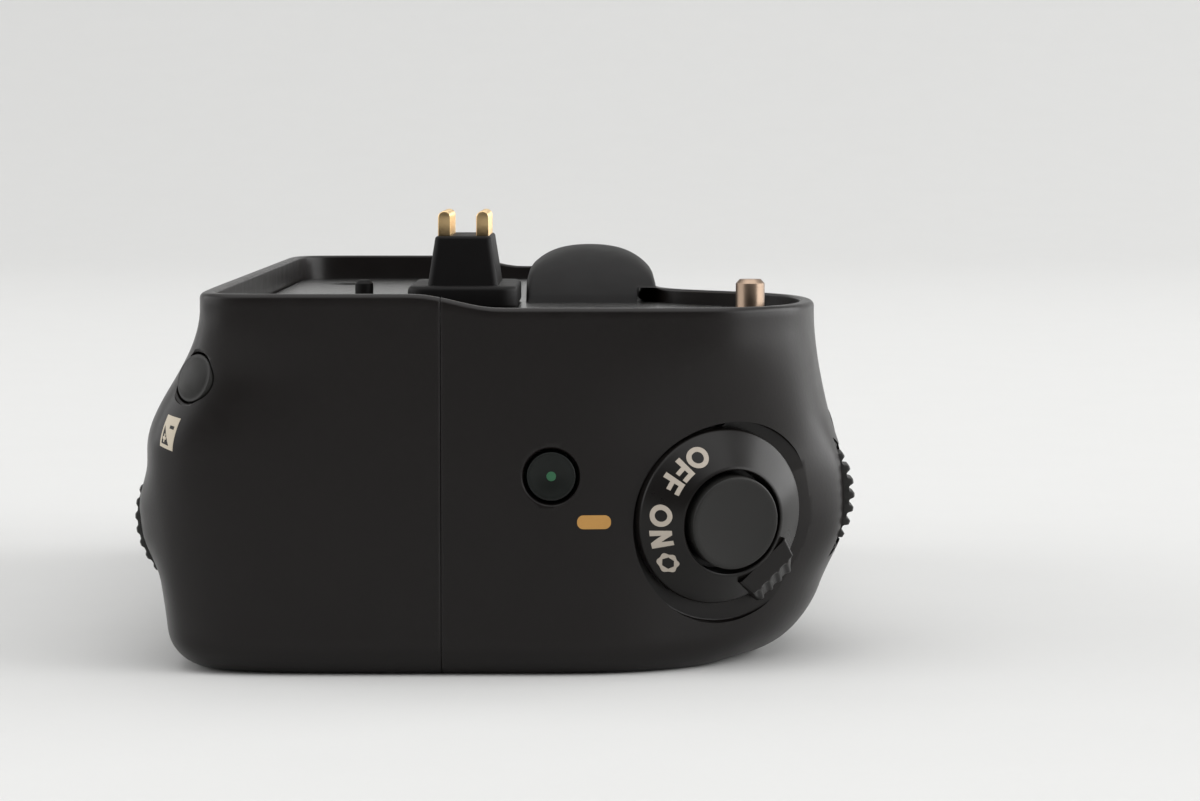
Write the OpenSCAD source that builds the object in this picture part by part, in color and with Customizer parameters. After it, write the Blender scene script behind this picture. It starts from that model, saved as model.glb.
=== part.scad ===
// Battery grip that screws under a camera: two moulded shells, a second set of
// vertical controls at the shutter end and a battery tray that slides out of the other end.
// Frame: the tripod socket mouth is the origin, the table is z = 0, the shutter end is at -x,
// the front of the camera is at -y.

/* [Casing] */
// Length of the control end beyond the battery chamber
control_l = 17.06; // [16.06:0.1:21.06]
// Distance from the lens axis to the battery door end
door_end = 60; // [60:0.5:68]
// Height of the front rim above the table
rim_h = 37.2; // [37:0.2:41]
// Extra height of the rear rim over the front rim
rim_step = 1.4; // [0.4:0.1:2.4]
// Casing wall thickness
wall = 1.8; // [1.5:0.1:2.2]
// Thickness of the casing floor
floor_t = 2.4; // [2.2:0.1:2.8]
// Depth of the rear face behind the lens axis, at the rim
rear_depth = 24.9; // [24.9:0.1:28]
// Swell of the rear face below the rim
rear_swell = 5.9; // [5.6:0.1:7]
// Depth of the hand grip in front of the lens axis, at the rim
grip_depth = 38.1; // [37.5:0.1:41]
// Swell of the hand grip below the rim
grip_swell = 3.1; // [2.4:0.1:5]
// Depth of the middle of the front, at the rim
mid_depth = 22.4; // [22.2:0.1:25]
// Swell of the middle of the front below the rim
mid_swell = 11; // [10:0.5:13]
// Drop of the deck below the front rim
deck_drop = 1.6; // [1.2:0.1:2.2]
// Thickness of the deck
deck_t = 1.8; // [1.4:0.1:2.2]
// Thickness of the rubber skins
skin_t = 0.6; // [0.4:0.1:1]

/* [Release] */
// Height of the release axis above the table
release_h = 15.9; // [14:0.1:17]
// Setback of the release facet behind the end face
facet_in = 3.7; // [3:0.1:4.4]
// Outer radius of the power ring
ring_r = 9.05; // [8.4:0.05:9.3]
// Height of the power ring cone
ring_rise = 3.1; // [2.4:0.1:3.4]
// Radius of the shutter button
shutter_r = 4.75; // [4.2:0.05:5.2]
// Travel of the shutter button
shutter_travel = 1.2; // [0.6:0.1:1.3]
// Radius of the lever tip on the power ring
lever_r = 10; // [9.6:0.1:10.6]

/* [Buttons and dials] */
// Cap radius of the green button
green_r = 2.45; // [2:0.05:3]
// Cap radius of the exposure button
exposure_r = 2.5; // [2:0.05:2.7]
// Cap radius of the two thumb buttons
thumb_r = 2.6; // [2:0.05:2.9]
// Travel of the small buttons
press = 0.6; // [0.3:0.1:0.7]
// Radius of the front and rear dials
dial_r = 8.5; // [8:0.1:8.8]
// Thickness of the dials
dial_t = 5; // [4:0.1:5.2]
// Number of teeth on each dial
dial_teeth = 36; // [24:1:40]
// Radius of the dial axles
axle_r = 1.2; // [0.8:0.1:1.6]

/* [Camera side] */
// Radius of the fixing screw
screw_r = 3.175; // [3.175:0.001:4.7625]
// Height of the fixing screw above the deck
screw_proud = 4.8; // [4:0.1:6]
// Radius of the fixing wheel
wheel_r = 26.8; // [26.6:0.1:27.6]
// Distance of the connector tower from the lens axis
tower_x = 24; // [22:0.5:26]
// Height of the connector tower above the deck
tower_h = 7.9; // [6:0.1:10]
// Radius of the steel guide pin
guide_r = 1.5; // [1:0.05:1.8]
// Height of the guide pin above the deck
guide_proud = 4; // [3:0.1:5]

/* [Battery tray] */
// Radius of one battery cell
cell_r = 7; // [6.8:0.05:7.05]
// Length of one battery cell
cell_l = 50.5; // [49:0.1:50.6]
// Thickness of the tray side walls
tray_wall = 1.5; // [1.2:0.1:1.6]
// Wall thickness of the battery chamber
chamber_wall = 1.6; // [1.3:0.1:1.7]
// Radius of the latch knob on the battery door
latch_r = 7; // [5:0.1:8]

/* [Fits] */
// Clearance of sliding pieces, on each side
slide_gap = 0.3; // [0.2:0.05:0.4]
// Clearance of a shaft in its bore
run_gap = 0.08; // [0.04:0.01:0.1]
// Clearance of pieces that are fixed together
fit_gap = 0.04; // [0.02:0.01:0.1]
// Gap between the two casing shells
part_gap = 0.1; // [0.06:0.02:0.2]

/* [Hidden] */
$fn = 64;
plate_t = 1.2;
foot_post = 2.8;
end_foot = 3.5;
socket_l = 5.4;
deck_top = rim_h - deck_drop;
deck_low = deck_top - deck_t;
tray_floor = 1;
tray_side = cell_r * 3 + 0.8 + tray_wall;
cell_pitch = 2 * cell_r + 0.4;
chamber_low = floor_t + foot_post;
tray_low = chamber_low + chamber_wall + slide_gap;
tray_top = tray_low + 2 * cell_r + 3.8;
chamber_top = tray_top + slide_gap + chamber_wall;
chamber_side = tray_side + slide_gap + chamber_wall;
cell_z = tray_low + tray_floor + 0.1 + cell_r;
tongue_l = cell_z - floor_t - 0.4;
door_t = 5.4;
door_in = door_end - door_t;
knob_deep = 1.3;
tongue_t = 1;
tongue_x = door_end - 3.6;
tray_out = door_in - fit_gap;
end_plate = 1.2;
contact_t = 0.4;
cell_end = tray_out - end_plate - 2 * contact_t;
tray_in = cell_end - 2 * cell_l - 2 * contact_t - end_plate;
chamber_in = tray_in - 0.9;
chamber_out = door_in - slide_gap;
shutter_end = control_l + chamber_wall - chamber_in;
door_y = chamber_side + 0.2;
door_z = chamber_low - 0.2;
door_top = chamber_top + 0.2;
wheel_low = chamber_top + 1.4;
washer_t = 0.9;
wheel_top = deck_low - slide_gap - washer_t;
wheel_t = wheel_top - wheel_low;
well_r = ring_r + 1.65;
well_off = 1.3;
well_deep = 1.4;
hub_r = 6.4;
lever_turn = 42;
lever_top = ring_rise - 0.4;
lever_half = 2.4;
cap_seat = ring_rise + 0.5 - 2;
board_x = -shutter_end + 12.8;
board_t = 1.2;
board_low = 7;
board_top = deck_low - 2.8;
front_dial_x = -shutter_end + 18;
front_dial_y = -chamber_side - dial_r - 0.4;
front_dial_z = 17;
rear_dial_x = -shutter_end + 12;
rear_dial_z = rim_h - 21.8;
dial_gap = 0.4;
lug_t = 1.5;
focus_spot = [22.1, rim_h - 14];
lock_spot = [21.7, rim_h - 14];
release_spot = [4, release_h];
exposure_spot = [24, rim_h - 7.1];
guide_x = -shutter_end + 15;
guide_y = -grip_depth + 6.5;
shoulder_half = 18;
shoulder_rise = 7;
tower_y = -1;
shank_r = screw_r - 0.3;
post_x = 38;
post_y = 16;
plate_x = 25;
plate_y = 15;
foot_x = 20;
foot_y = 11;
outer_levels = [0, 0.5, 1.6, 3.4, 6, 9.5, 14, 18, 22, 26, 30, 33, 35, rim_h + rim_step + 1];
inner_levels = [floor_t, floor_t + 2, 7, 14, 20, 26, 31, 35, rim_h + rim_step + 3];
skin_levels = [3.4, 6, 9.5, 14, 18, 22, 26, 30];

function mix(a, b, t) = a + (b - a) * t;
function ease(a, b, z) = let (t = min(1, max(0, (z - a) / (b - a)))) t * t * (3 - 2 * t);
function foot(r, z) = z >= r ? 0 : r - sqrt(r * r - (r - z) * (r - z));
function swell(z) = 1 - ease(rim_h - 14.7, rim_h - 0.4, z);
function tuck(z) = 1 - ease(0, 20, z);
function rear(z) = rear_depth + rear_swell * swell(z) - 2.2 * tuck(z) - foot(4, z);
function rear_far(z) = rear_depth + 0.7 * rear_swell * swell(z) - 1.3 * tuck(z) - foot(4, z);
function grip(z) = grip_depth + grip_swell * (1 - ease(16, 36, z)) - 4 * (1 - ease(0, 16, z)) - foot(7, z);
function middle(z) = mid_depth + mid_swell * (1 - ease(18, 35, z)) - foot(9, z);
function facet(z) = 1 - ease(22, 34, z);
function facet_set(z) = facet_in + (release_h - z) * 0.15;

// Control polygon of the body outline at height z, moved inwards by i
function net(z, i) =
    let (r = rear(z) - i)
    let (q = rear_far(z) - i)
    let (f = grip(z) - i)
    let (m = middle(z) - i)
    let (a = shutter_end - foot(end_foot, z) - i)
    let (b = door_end - foot(end_foot, z) - i)
    let (w = facet(z))
    let (c = mix(12.5, 8, ease(29, 36, z)))
    [
        [-a, r - c], [-a, 6], [-a, -8], [-a, -mix(21, 19, w)],
        [-a + mix(0.1, facet_set(z), w), -mix(30, 28, w)],
        [-a + mix(8, 5.1 + facet_set(z), w), -f + mix(0.8, 3, w)],
        [-a + mix(21, 17.5, w), -f - 0.8], [-a + mix(32, 30, w), -f - 0.2],
        [-28, -mix(f, m, 0.25)], [-20, -mix(f, m, 0.9)], [-8, -m], [12, -m], [32, -m],
        [b - 10, -m], [b, -m], [b, 9 - m], [b, 0], [b, q - 9], [b, q], [b - 10, q],
        [25, q], [-5, mix(r, q, 0.5)], [-35, r], [-a + c, r], [-a + 0.09 * c, r - 0.05 * c]
    ];

function blend(a, b, c, d, t) =
    ((1 - t) ^ 3 * a + (3 * t ^ 3 - 6 * t ^ 2 + 4) * b + (3 * t - 3 * t ^ 3 + 3 * t ^ 2 + 1) * c + t ^ 3 * d) / 6;
function along(p, k, t) = let (n = len(p)) blend(p[(k + n - 1) % n], p[k], p[(k + 1) % n], p[(k + 2) % n], t);
function outline(z, i, steps) = let (p = net(z, i)) [for (k = [0:len(p) - 1]) for (s = [0:steps - 1]) along(p, k, s / steps)];

// Point and outward normal of the casing at outline position u and height z
function skin(u, z) = let (q = along(net(z, 0), floor(u), u - floor(u))) [q[0], q[1], z];
function unit(v) = v / norm(v);
function normal(u, z) = unit(cross(skin(u + 0.01, z) - skin(u - 0.01, z), skin(u, z + 0.01) - skin(u, z - 0.01)));

rear_dial_y = rear(rear_dial_z) + 1.35 - dial_r;
green_y = -11.1;
green_z = 20.3;
green_deep = shutter_end + board_x;

// Solid body between the outlines at the given heights
module loft(levels, i, steps) {
    rings = [for (z = levels) [for (p = outline(z, i, steps)) [p[0], p[1], z]]];
    n = len(rings[0]);
    top = n * (len(levels) - 1);
    polyhedron(
        points = [for (r = rings) each r],
        faces = concat(
            [[for (k = [0:n - 1]) k], [for (k = [0:n - 1]) top + n - 1 - k]],
            [for (s = [0:n:top - n]) for (k = [0:n - 1]) [s + k, s + n + k, s + n + (k + 1) % n]],
            [for (s = [0:n:top - n]) for (k = [0:n - 1]) [s + k, s + n + (k + 1) % n, s + (k + 1) % n]]
        )
    );
}

// Places a piece on the casing with +z along the outward normal
module on_skin(spot) {
    n = normal(spot[0], spot[1]);
    translate(skin(spot[0], spot[1])) rotate([0, acos(n[2]), atan2(n[1], n[0])]) children();
}

module at_release() { on_skin(release_spot) children(); }
module at_green() { translate([-shutter_end, green_y, green_z]) rotate([0, -90, 0]) children(); }
module at_front_dial() { translate([front_dial_x, front_dial_y, front_dial_z]) rotate([0, 90, 0]) children(); }
module at_rear_dial() { translate([rear_dial_x, rear_dial_y, rear_dial_z]) rotate([0, 90, 0]) children(); }

module rounded(x, y, r) {
    square([2 * x, 2 * y - 2 * r], center = true);
    square([2 * x - 2 * r, 2 * y], center = true);
    for (sx = [-1, 1]) for (sy = [-1, 1]) translate([sx * (x - r), sy * (y - r)]) circle(r);
}

// Everything above the rim line, which steps up towards the rear
module above_rim() {
    line = [for (y = [-7:1:4]) [y, rim_h + rim_step * ease(-6, 3, y)]];
    translate([-100, 0, 0]) rotate([90, 0, 90]) linear_extrude(200)
        polygon(concat([[-60, rim_h]], line, [[60, rim_h + rim_step], [60, 80], [-60, 80]]));
}

module shell(side) {
    difference() {
        loft(outer_levels, 0, 3);
        loft(inner_levels, wall, 2);
        above_rim();
        translate([-100, side < 0 ? -part_gap / 2 : part_gap / 2 - 100, -5]) cube([200, 100, 80]);
    }
}

// Openings that cross the parting line of the two shells
module shared_openings() {
    translate([door_in - 0.6, -door_y - slide_gap, door_z - slide_gap])
        cube([20, 2 * door_y + 2 * slide_gap, door_top - door_z + 2 * slide_gap]);
    translate([0, 0, wheel_low - dial_gap]) cylinder(r = wheel_r + dial_gap, h = wheel_t + 2 * dial_gap);
    translate([0, 0, -1]) linear_extrude(1 + plate_t + fit_gap) rounded(plate_x + fit_gap, plate_y + fit_gap, 4);
    translate([0, 0, -1]) cylinder(r = 5.5 + 2 * fit_gap, h = 6);
    for (sx = [-1, 1]) for (sy = [-1, 1]) translate([sx * foot_x, sy * foot_y, -1]) cylinder(r = 1.2, h = 6);
}

// Two bearing lugs for a dial axle, tied to the casing wall at distance reach
module dial_lugs(reach) {
    for (s = [-1, 1]) translate([0, 0, s * (dial_t / 2 + dial_gap + lug_t / 2)]) difference() {
        translate([-3, min(-3, reach), -lug_t / 2]) cube([6, max(3, reach) - min(-3, reach), lug_t]);
        cylinder(r = axle_r + fit_gap, h = 20, center = true);
    }
}

module front_casing() {
    color([0.13, 0.13, 0.13]) difference() {
        union() {
            shell(-1);
            at_front_dial() dial_lugs(1.5 - grip(front_dial_z) - front_dial_y);
            translate([-shutter_end + wall - 0.4, -6, 27]) rotate([0, 90, 0]) cylinder(r = 2, h = green_deep - wall + 0.4);
        }
        shared_openings();
        at_release() cylinder(r = hub_r + run_gap, h = 40, center = true);
        at_release() rotate(lever_turn + 15) translate([well_off, 0, -well_deep]) cylinder(r = well_r, h = 12);
        at_green() cylinder(r = green_r + slide_gap, h = 8, center = true);
        at_green() translate([0, 0, -0.3]) cylinder(r1 = green_r + slide_gap, r2 = green_r + slide_gap + 0.5, h = 0.5);
        at_front_dial() cylinder(r = dial_r + dial_gap, h = dial_t + 2 * dial_gap, center = true);
    }
}

module rear_casing() {
    color([0.13, 0.13, 0.13]) difference() {
        union() {
            shell(1);
            at_rear_dial() dial_lugs(rear(rear_dial_z) - 1.5 - rear_dial_y);
            for (z = [10, 27]) translate([-shutter_end + wall - 0.4, 8, z]) rotate([0, 90, 0])
                cylinder(r = 2, h = green_deep - wall + 0.4);
        }
        shared_openings();
        on_skin(exposure_spot) cylinder(r = exposure_r + slide_gap, h = 8, center = true);
        on_skin(exposure_spot) translate([0, 0, -0.4])
            cylinder(r1 = exposure_r + slide_gap, r2 = exposure_r + slide_gap + 0.6, h = 0.8);
        on_skin(focus_spot) cylinder(r = thumb_r + slide_gap, h = 8, center = true);
        on_skin(lock_spot) cylinder(r = thumb_r + slide_gap, h = 8, center = true);
        at_rear_dial() cylinder(r = dial_r + dial_gap, h = dial_t + 2 * dial_gap, center = true);
    }
}

module top_deck() {
    color([0.2, 0.2, 0.2]) difference() {
        loft([deck_low, deck_top], wall + 0.3, 3);
        translate([0, 0, deck_low - 1]) cylinder(r = screw_r + 0.5, h = 6);
        translate([guide_x, guide_y, deck_low - 1]) cylinder(r = guide_r - 0.5 + fit_gap, h = 6);
        translate([-30, 10, deck_low - 1]) cylinder(r = 1 + fit_gap, h = 6);
        for (sx = [-1, 1]) for (sy = [-1, 1]) translate([sx * post_x, sy * post_y, deck_low - 1]) {
            cylinder(r = 1.2 + fit_gap, h = 6);
            translate([0, 0, deck_t]) cylinder(r = 2.2 + fit_gap, h = 5);
        }
    }
}

module lens_shoulder() {
    arch = (shoulder_half * shoulder_half + shoulder_rise * shoulder_rise) / (2 * shoulder_rise);
    color([0.15, 0.15, 0.15]) difference() {
        intersection() {
            translate([0, 0, deck_top + shoulder_rise - arch]) rotate([90, 0, 0]) cylinder(r = arch, h = 80, center = true);
            translate([0, 7.6 - mid_depth, deck_top - 2]) rotate([0, 90, 0]) cylinder(r = 9, h = 80, center = true);
            translate([-30, -mid_depth, deck_top]) cube([60, mid_depth + tower_y - 6.6, 20]);
        }
        translate([-40, -60, deck_top - 5]) cube([80, 60 + wall + 0.2 - mid_depth, rim_h - deck_top + 5.05]);
    }
}

module base_plate() {
    color([0.55, 0.55, 0.56]) difference() {
        linear_extrude(plate_t) rounded(plate_x, plate_y, 4);
        translate([0, 0, -1]) cylinder(r = 5.5 + fit_gap, h = 5);
        for (sx = [-1, 1]) for (sy = [-1, 1]) translate([sx * foot_x, sy * foot_y, -1]) {
            cylinder(r = 1 + fit_gap, h = 5);
            cylinder(r = 2 + fit_gap, h = 1.8);
        }
    }
}

module tripod_bush() {
    color([0.75, 0.75, 0.74]) difference() {
        cylinder(r = 5.5, h = socket_l + 0.6);
        translate([0, 0, -1]) cylinder(r = screw_r, h = 1 + socket_l);
    }
}

module chassis() {
    color([0.3, 0.3, 0.32]) difference() {
        union() {
            translate([chamber_in - chamber_wall, -chamber_side, chamber_low])
                cube([chamber_out - chamber_in + chamber_wall, 2 * chamber_side, chamber_top - chamber_low]);
            translate([0, 0, floor_t]) cylinder(r = 8, h = foot_post + 0.5);
            translate([0, 0, chamber_top - 0.5]) cylinder(r = 6, h = wheel_low - slide_gap - chamber_top + 0.5);
            for (sx = [-1, 1]) for (sy = [-1, 1]) {
                translate([sx * foot_x, sy * foot_y, floor_t]) cylinder(r = 2.6, h = foot_post + 0.5);
                translate([sx * post_x, sy * post_y, chamber_top - 0.5]) cylinder(r = 3, h = deck_low - chamber_top + 0.5);
            }
        }
        translate([chamber_in, -chamber_side + chamber_wall, chamber_low + chamber_wall])
            cube([chamber_out - chamber_in + 10, 2 * (chamber_side - chamber_wall), tray_top + 2 * slide_gap - tray_low]);
        translate([0, 0, floor_t - 1]) cylinder(r = 5.5 + fit_gap, h = socket_l + 0.8 - floor_t + 1);
        translate([0, 0, chamber_top - 0.8]) cylinder(r = 2 + run_gap, h = 10);
        for (sx = [-1, 1]) for (sy = [-1, 1]) {
            translate([sx * foot_x, sy * foot_y, floor_t - 1]) cylinder(r = 1 + fit_gap, h = 4.6);
            translate([sx * post_x, sy * post_y, deck_low - 5]) cylinder(r = 1.2 + fit_gap, h = 10);
        }
    }
}

module connector_tower() {
    color([0.1, 0.1, 0.1]) translate([-tower_x, tower_y, deck_top]) {
        linear_extrude(2.5) rounded(12, 6, 2);
        hull() {
            translate([0, 0, 2.2]) cube([19, 7.8, 0.1], center = true);
            translate([0, 0, tower_h - 0.05]) cube([17.6, 6.2, 0.1], center = true);
        }
    }
}

module connector_contacts() {
    color([0.83, 0.66, 0.3]) for (k = [-3:3]) for (s = [-1, 1])
        translate([k * 2.3 - tower_x, tower_y + s * 2.1, deck_top + tower_h]) {
            translate([-0.5, -0.7, 0]) cube([1, 1.4, 2]);
            translate([0, 0, 2]) rotate([0, 90, 0]) cylinder(r = 0.7, h = 1, center = true, $fn = 24);
        }
}

module guide_pin() {
    color([0.7, 0.69, 0.67]) translate([guide_x, guide_y, 0]) {
        translate([0, 0, deck_low]) cylinder(r = guide_r - 0.5, h = deck_t + 0.2);
        translate([0, 0, deck_top + 0.2]) cylinder(r = guide_r, h = guide_proud - 0.7);
        translate([0, 0, deck_top + guide_proud - 0.5]) cylinder(r1 = guide_r, r2 = guide_r - 0.4, h = 0.5);
        translate([0, 0, deck_top]) cylinder(r = guide_r + 1.1, h = 0.4);
    }
}

module locating_peg() {
    color([0.08, 0.08, 0.08]) translate([-30, 10, deck_low]) {
        cylinder(r = 1, h = deck_t + 2.6, $fn = 32);
        translate([0, 0, deck_t + 2.6]) cylinder(r1 = 1, r2 = 0.6, h = 0.4, $fn = 32);
    }
}

module dial_axle() { cylinder(r = axle_r, h = dial_t + 2 * dial_gap + 2 * lug_t, center = true); }
module front_dial_axle() { color([0.7, 0.7, 0.7]) at_front_dial() dial_axle(); }
module rear_dial_axle() { color([0.7, 0.7, 0.7]) at_rear_dial() dial_axle(); }

// Toothed disc with shallow rounded teeth, bored for its axle
module dial() {
    step = 360 / dial_teeth;
    rim = [for (k = [0:dial_teeth - 1]) for (s = [[0, 0], [0.5, 0], [0.66, 0.6], [0.84, 0.6]])
        (dial_r - s[1]) * [cos(step * (k + s[0])), sin(step * (k + s[0]))]];
    difference() {
        linear_extrude(dial_t, center = true) polygon(rim);
        cylinder(r = axle_r + run_gap, h = dial_t + 2, center = true);
    }
}

module front_dial() { color([0.12, 0.12, 0.12]) at_front_dial() dial(); }
module rear_dial() { color([0.12, 0.12, 0.12]) at_rear_dial() dial(); }

module control_board() {
    color([0.1, 0.35, 0.2]) {
        translate([board_x, -28, board_low]) cube([board_t, 40, board_top - board_low]);
        translate([board_x, -10, board_top - 8]) cube([board_t, 27, 8]);
    }
}

module release_switch() {
    color([0.2, 0.2, 0.22]) difference() {
        at_release() translate([0, 0, -7 - shutter_travel]) mirror([0, 0, 1]) cylinder(r = 2.8, h = 8);
        translate([board_x, -60, -10]) cube([60, 120, 60]);
    }
}

module tact_switches() {
    color([0.75, 0.75, 0.72]) {
        translate([board_x - 2.2, green_y - 2.2, green_z - 2.2]) cube([2.2, 4.4, 4.4]);
        difference() {
            on_skin(exposure_spot) translate([0, 0, -20]) cylinder(r = 2, h = 13.2);
            translate([board_x, -60, -10]) cube([60, 120, 60]);
        }
    }
}

module rear_switch_strip() {
    color([0.7, 0.5, 0.2]) {
        translate([skin(focus_spot[0], focus_spot[1])[0] - 5, chamber_side, focus_spot[1] - 5]) cube([22, 0.4, 7]);
        for (spot = [focus_spot, lock_spot]) translate([skin(spot[0], spot[1])[0], chamber_side + 0.4, spot[1] - 1])
            rotate([-90, 0, 0]) cylinder(r1 = 2, r2 = 1.4, h = 0.3);
    }
}

module chamber_contacts() {
    color([0.83, 0.66, 0.3]) for (s = [-1, 1]) translate([chamber_in, s * 12 - 2, cell_z - 4]) cube([0.6, 4, 8]);
}

module case_screws() {
    color([0.6, 0.6, 0.6]) for (sx = [-1, 1]) for (sy = [-1, 1]) translate([sx * foot_x, sy * foot_y, 0]) {
        translate([0, 0, 0.1]) cylinder(r = 2, h = 0.7, $fn = 32);
        translate([0, 0, 0.5]) cylinder(r = 1, h = floor_t + foot_post - 0.3, $fn = 32);
    }
}

module deck_screws() {
    color([0.2, 0.2, 0.2]) for (sx = [-1, 1]) for (sy = [-1, 1]) translate([sx * post_x, sy * post_y, deck_top]) {
        translate([0, 0, -0.8]) cylinder(r = 2.2, h = 0.7, $fn = 32);
        translate([0, 0, -deck_t - 4.5]) cylinder(r = 1.2, h = deck_t + 4, $fn = 32);
    }
}

module rubber(x0, x1, z0, z1, side) {
    intersection() {
        difference() {
            loft(skin_levels, -skin_t, 3);
            loft(skin_levels, -fit_gap, 3);
        }
        translate([(x0 + x1) / 2, side > 0 ? 80 : -10, (z0 + z1) / 2]) rotate([90, 0, 0])
            linear_extrude(70) rounded((x1 - x0) / 2, (z1 - z0) / 2, 3);
    }
}

module front_grip_skin() { color([0.07, 0.07, 0.07]) rubber(front_dial_x + 7, 30, 5, 26, -1); }
module thumb_rest_skin() { color([0.07, 0.07, 0.07]) rubber(rear_dial_x + 8, -12, 5, focus_spot[1] - 4.7, 1); }

module shutter_button() {
    color([0.2, 0.2, 0.2]) at_release() {
        translate([0, 0, cap_seat]) cylinder(r = shutter_r, h = 1.6);
        translate([0, 0, cap_seat + 1.6]) cylinder(r1 = shutter_r, r2 = shutter_r - 0.5, h = 0.4);
        translate([0, 0, -6.6]) cylinder(r = 2.2, h = 7 + cap_seat);
    }
}

// Tapered tab of the power ring along +x, with a sloped end that has finger ridges
module lever() {
    difference() {
        translate([0, 0, 0.3 - well_deep]) linear_extrude(lever_top + well_deep - 0.3)
            polygon([[shutter_r + 0.8, -lever_half - 0.9], [lever_r, -lever_half], [lever_r, lever_half],
                [shutter_r + 0.8, lever_half + 0.9]]);
        translate([lever_r - 2.2, 0, lever_top]) rotate([0, 45, 0]) translate([-5, -8, 0]) cube([20, 16, 8]);
        for (k = [-1:1]) translate([lever_r - 2.2, k * 1.3, lever_top]) rotate([0, 45, 0]) rotate([45, 0, 0])
            translate([-1, -0.3, -0.3]) cube([9, 0.6, 0.6]);
    }
}

module power_ring() {
    color([0.12, 0.12, 0.12]) at_release() difference() {
        union() {
            translate([0, 0, -well_deep + 0.2]) cylinder(r = ring_r, h = well_deep - 0.2);
            cylinder(r1 = ring_r, r2 = shutter_r + 0.45, h = ring_rise);
            translate([0, 0, -4.4]) cylinder(r = hub_r, h = 4.2);
            rotate(lever_turn) lever();
        }
        translate([0, 0, cap_seat - shutter_travel - 0.3]) cylinder(r = shutter_r + 0.45, h = 10);
        cylinder(r = 2.2 + slide_gap, h = 30, center = true);
        translate([0, 0, -3.7]) difference() {
            cylinder(r = hub_r + 1, h = 0.9);
            cylinder(r = hub_r - 0.6, h = 0.9);
        }
    }
}

module ring_retainer() {
    color([0.7, 0.7, 0.7]) at_release() translate([0, 0, -3.6]) difference() {
        cylinder(r = hub_r + 0.8, h = 0.7);
        cylinder(r = hub_r - 0.55, h = 4, center = true);
        translate([0, -1.5, -1]) cube([20, 3, 4]);
    }
}

// Round cap with a retaining flange and a stem, +z outwards from the casing surface
module button(r, proud, flange, flange_deep, stem) {
    translate([0, 0, -flange_deep]) cylinder(r = r, h = flange_deep + proud - 0.3);
    translate([0, 0, proud - 0.3]) cylinder(r1 = r, r2 = r - 0.3, h = 0.3);
    translate([0, 0, -flange_deep - 0.6]) cylinder(r = r + flange, h = 0.6);
    translate([0, 0, -stem]) cylinder(r = 1.1, h = stem - flange_deep);
}

module green_button() {
    color([0.18, 0.18, 0.18]) at_green() button(green_r, 0.2, 0.9, wall + 0.3, green_deep - 3.1);
}

module exposure_button() {
    color([0.15, 0.15, 0.15]) on_skin(exposure_spot) button(exposure_r, 0.3, 0.5, 3.4, 5.9);
}

module focus_button() {
    color([0.15, 0.15, 0.15]) on_skin(focus_spot) button(thumb_r, 0.8, 0.4, wall + 0.7, wall + 1.9);
}

module lock_button() {
    color([0.15, 0.15, 0.15]) on_skin(lock_spot) button(thumb_r, 0.8, 0.4, wall + 0.7, wall + 1.9);
}

module fixing_wheel() {
    step = 360 / 72;
    rim = [for (k = [0:71]) for (s = [[0, 0], [0.5, 0], [0.75, 0.5]])
        (wheel_r - s[1]) * [cos(step * (k + s[0])), sin(step * (k + s[0]))]];
    color([0.1, 0.1, 0.1]) translate([0, 0, wheel_low]) difference() {
        linear_extrude(wheel_t) polygon(rim);
        translate([0, 0, -1]) cylinder(r = shank_r + fit_gap, h = wheel_t + 2);
    }
}

module fixing_screw() {
    color([0.72, 0.72, 0.72]) {
        translate([0, 0, chamber_top - 0.5]) cylinder(r = 2, h = wheel_low - chamber_top + 0.6);
        translate([0, 0, wheel_low]) cylinder(r = shank_r, h = deck_top + 0.3 - wheel_low);
        translate([0, 0, deck_top + 0.2]) cylinder(r = screw_r, h = screw_proud - 0.8);
        translate([0, 0, deck_top + screw_proud - 0.6]) cylinder(r1 = screw_r, r2 = screw_r - 0.6, h = 0.6);
    }
}

module thrust_washer() {
    color([0.6, 0.55, 0.4]) translate([0, 0, wheel_top]) difference() {
        cylinder(r = screw_r + 2.4, h = washer_t);
        cylinder(r = shank_r + fit_gap, h = 9, center = true);
    }
}

module battery_tray() {
    color([0.16, 0.16, 0.17]) {
        translate([tray_in, -tray_side, tray_low]) cube([tray_out - tray_in, 2 * tray_side, tray_floor]);
        for (s = [-1, 1]) translate([tray_in, s * (tray_side - tray_wall / 2) - tray_wall / 2, tray_low])
            cube([tray_out - tray_in, tray_wall, cell_r + tray_floor]);
        for (x = [tray_in, tray_out - end_plate]) translate([x, -tray_side, tray_low])
            cube([end_plate, 2 * tray_side, tray_top - tray_low]);
    }
}

module tray_door() {
    color([0.13, 0.13, 0.13]) difference() {
        intersection() {
            loft([3.4, 6, 9.5, 14, 18, 22, 26, 30], 0, 3);
            translate([door_in, -door_y, door_z]) cube([20, 2 * door_y, door_top - door_z]);
        }
        translate([door_end - knob_deep, 0, cell_z]) rotate([0, 90, 0]) cylinder(r = latch_r + slide_gap, h = 9);
        translate([door_in - 1, 0, cell_z]) rotate([0, 90, 0]) cylinder(r = 2 + run_gap, h = 9);
        translate([tongue_x - slide_gap, -3.6, door_z - 1])
            cube([tongue_t + 2 * slide_gap, 4.2 + tongue_l, cell_z + 4.6 - door_z]);
    }
}

module battery_cells() {
    color([0.75, 0.62, 0.35]) for (y = [-1, 0, 1]) for (k = [1, 2])
        translate([cell_end - k * cell_l, y * cell_pitch, cell_z]) rotate([0, 90, 0]) {
            cylinder(r = cell_r, h = cell_l - 1.4, $fn = 48);
            translate([0, 0, cell_l - 1.5]) cylinder(r = 2.7, h = 1.46, $fn = 32);
        }
}

module tray_contacts() {
    color([0.83, 0.66, 0.3]) for (x = [tray_in + end_plate, tray_out - end_plate - contact_t])
        for (y = [-1, 0, 1]) translate([x, y * cell_pitch - 4, cell_z - 5]) cube([contact_t, 8, 10]);
}

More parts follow.
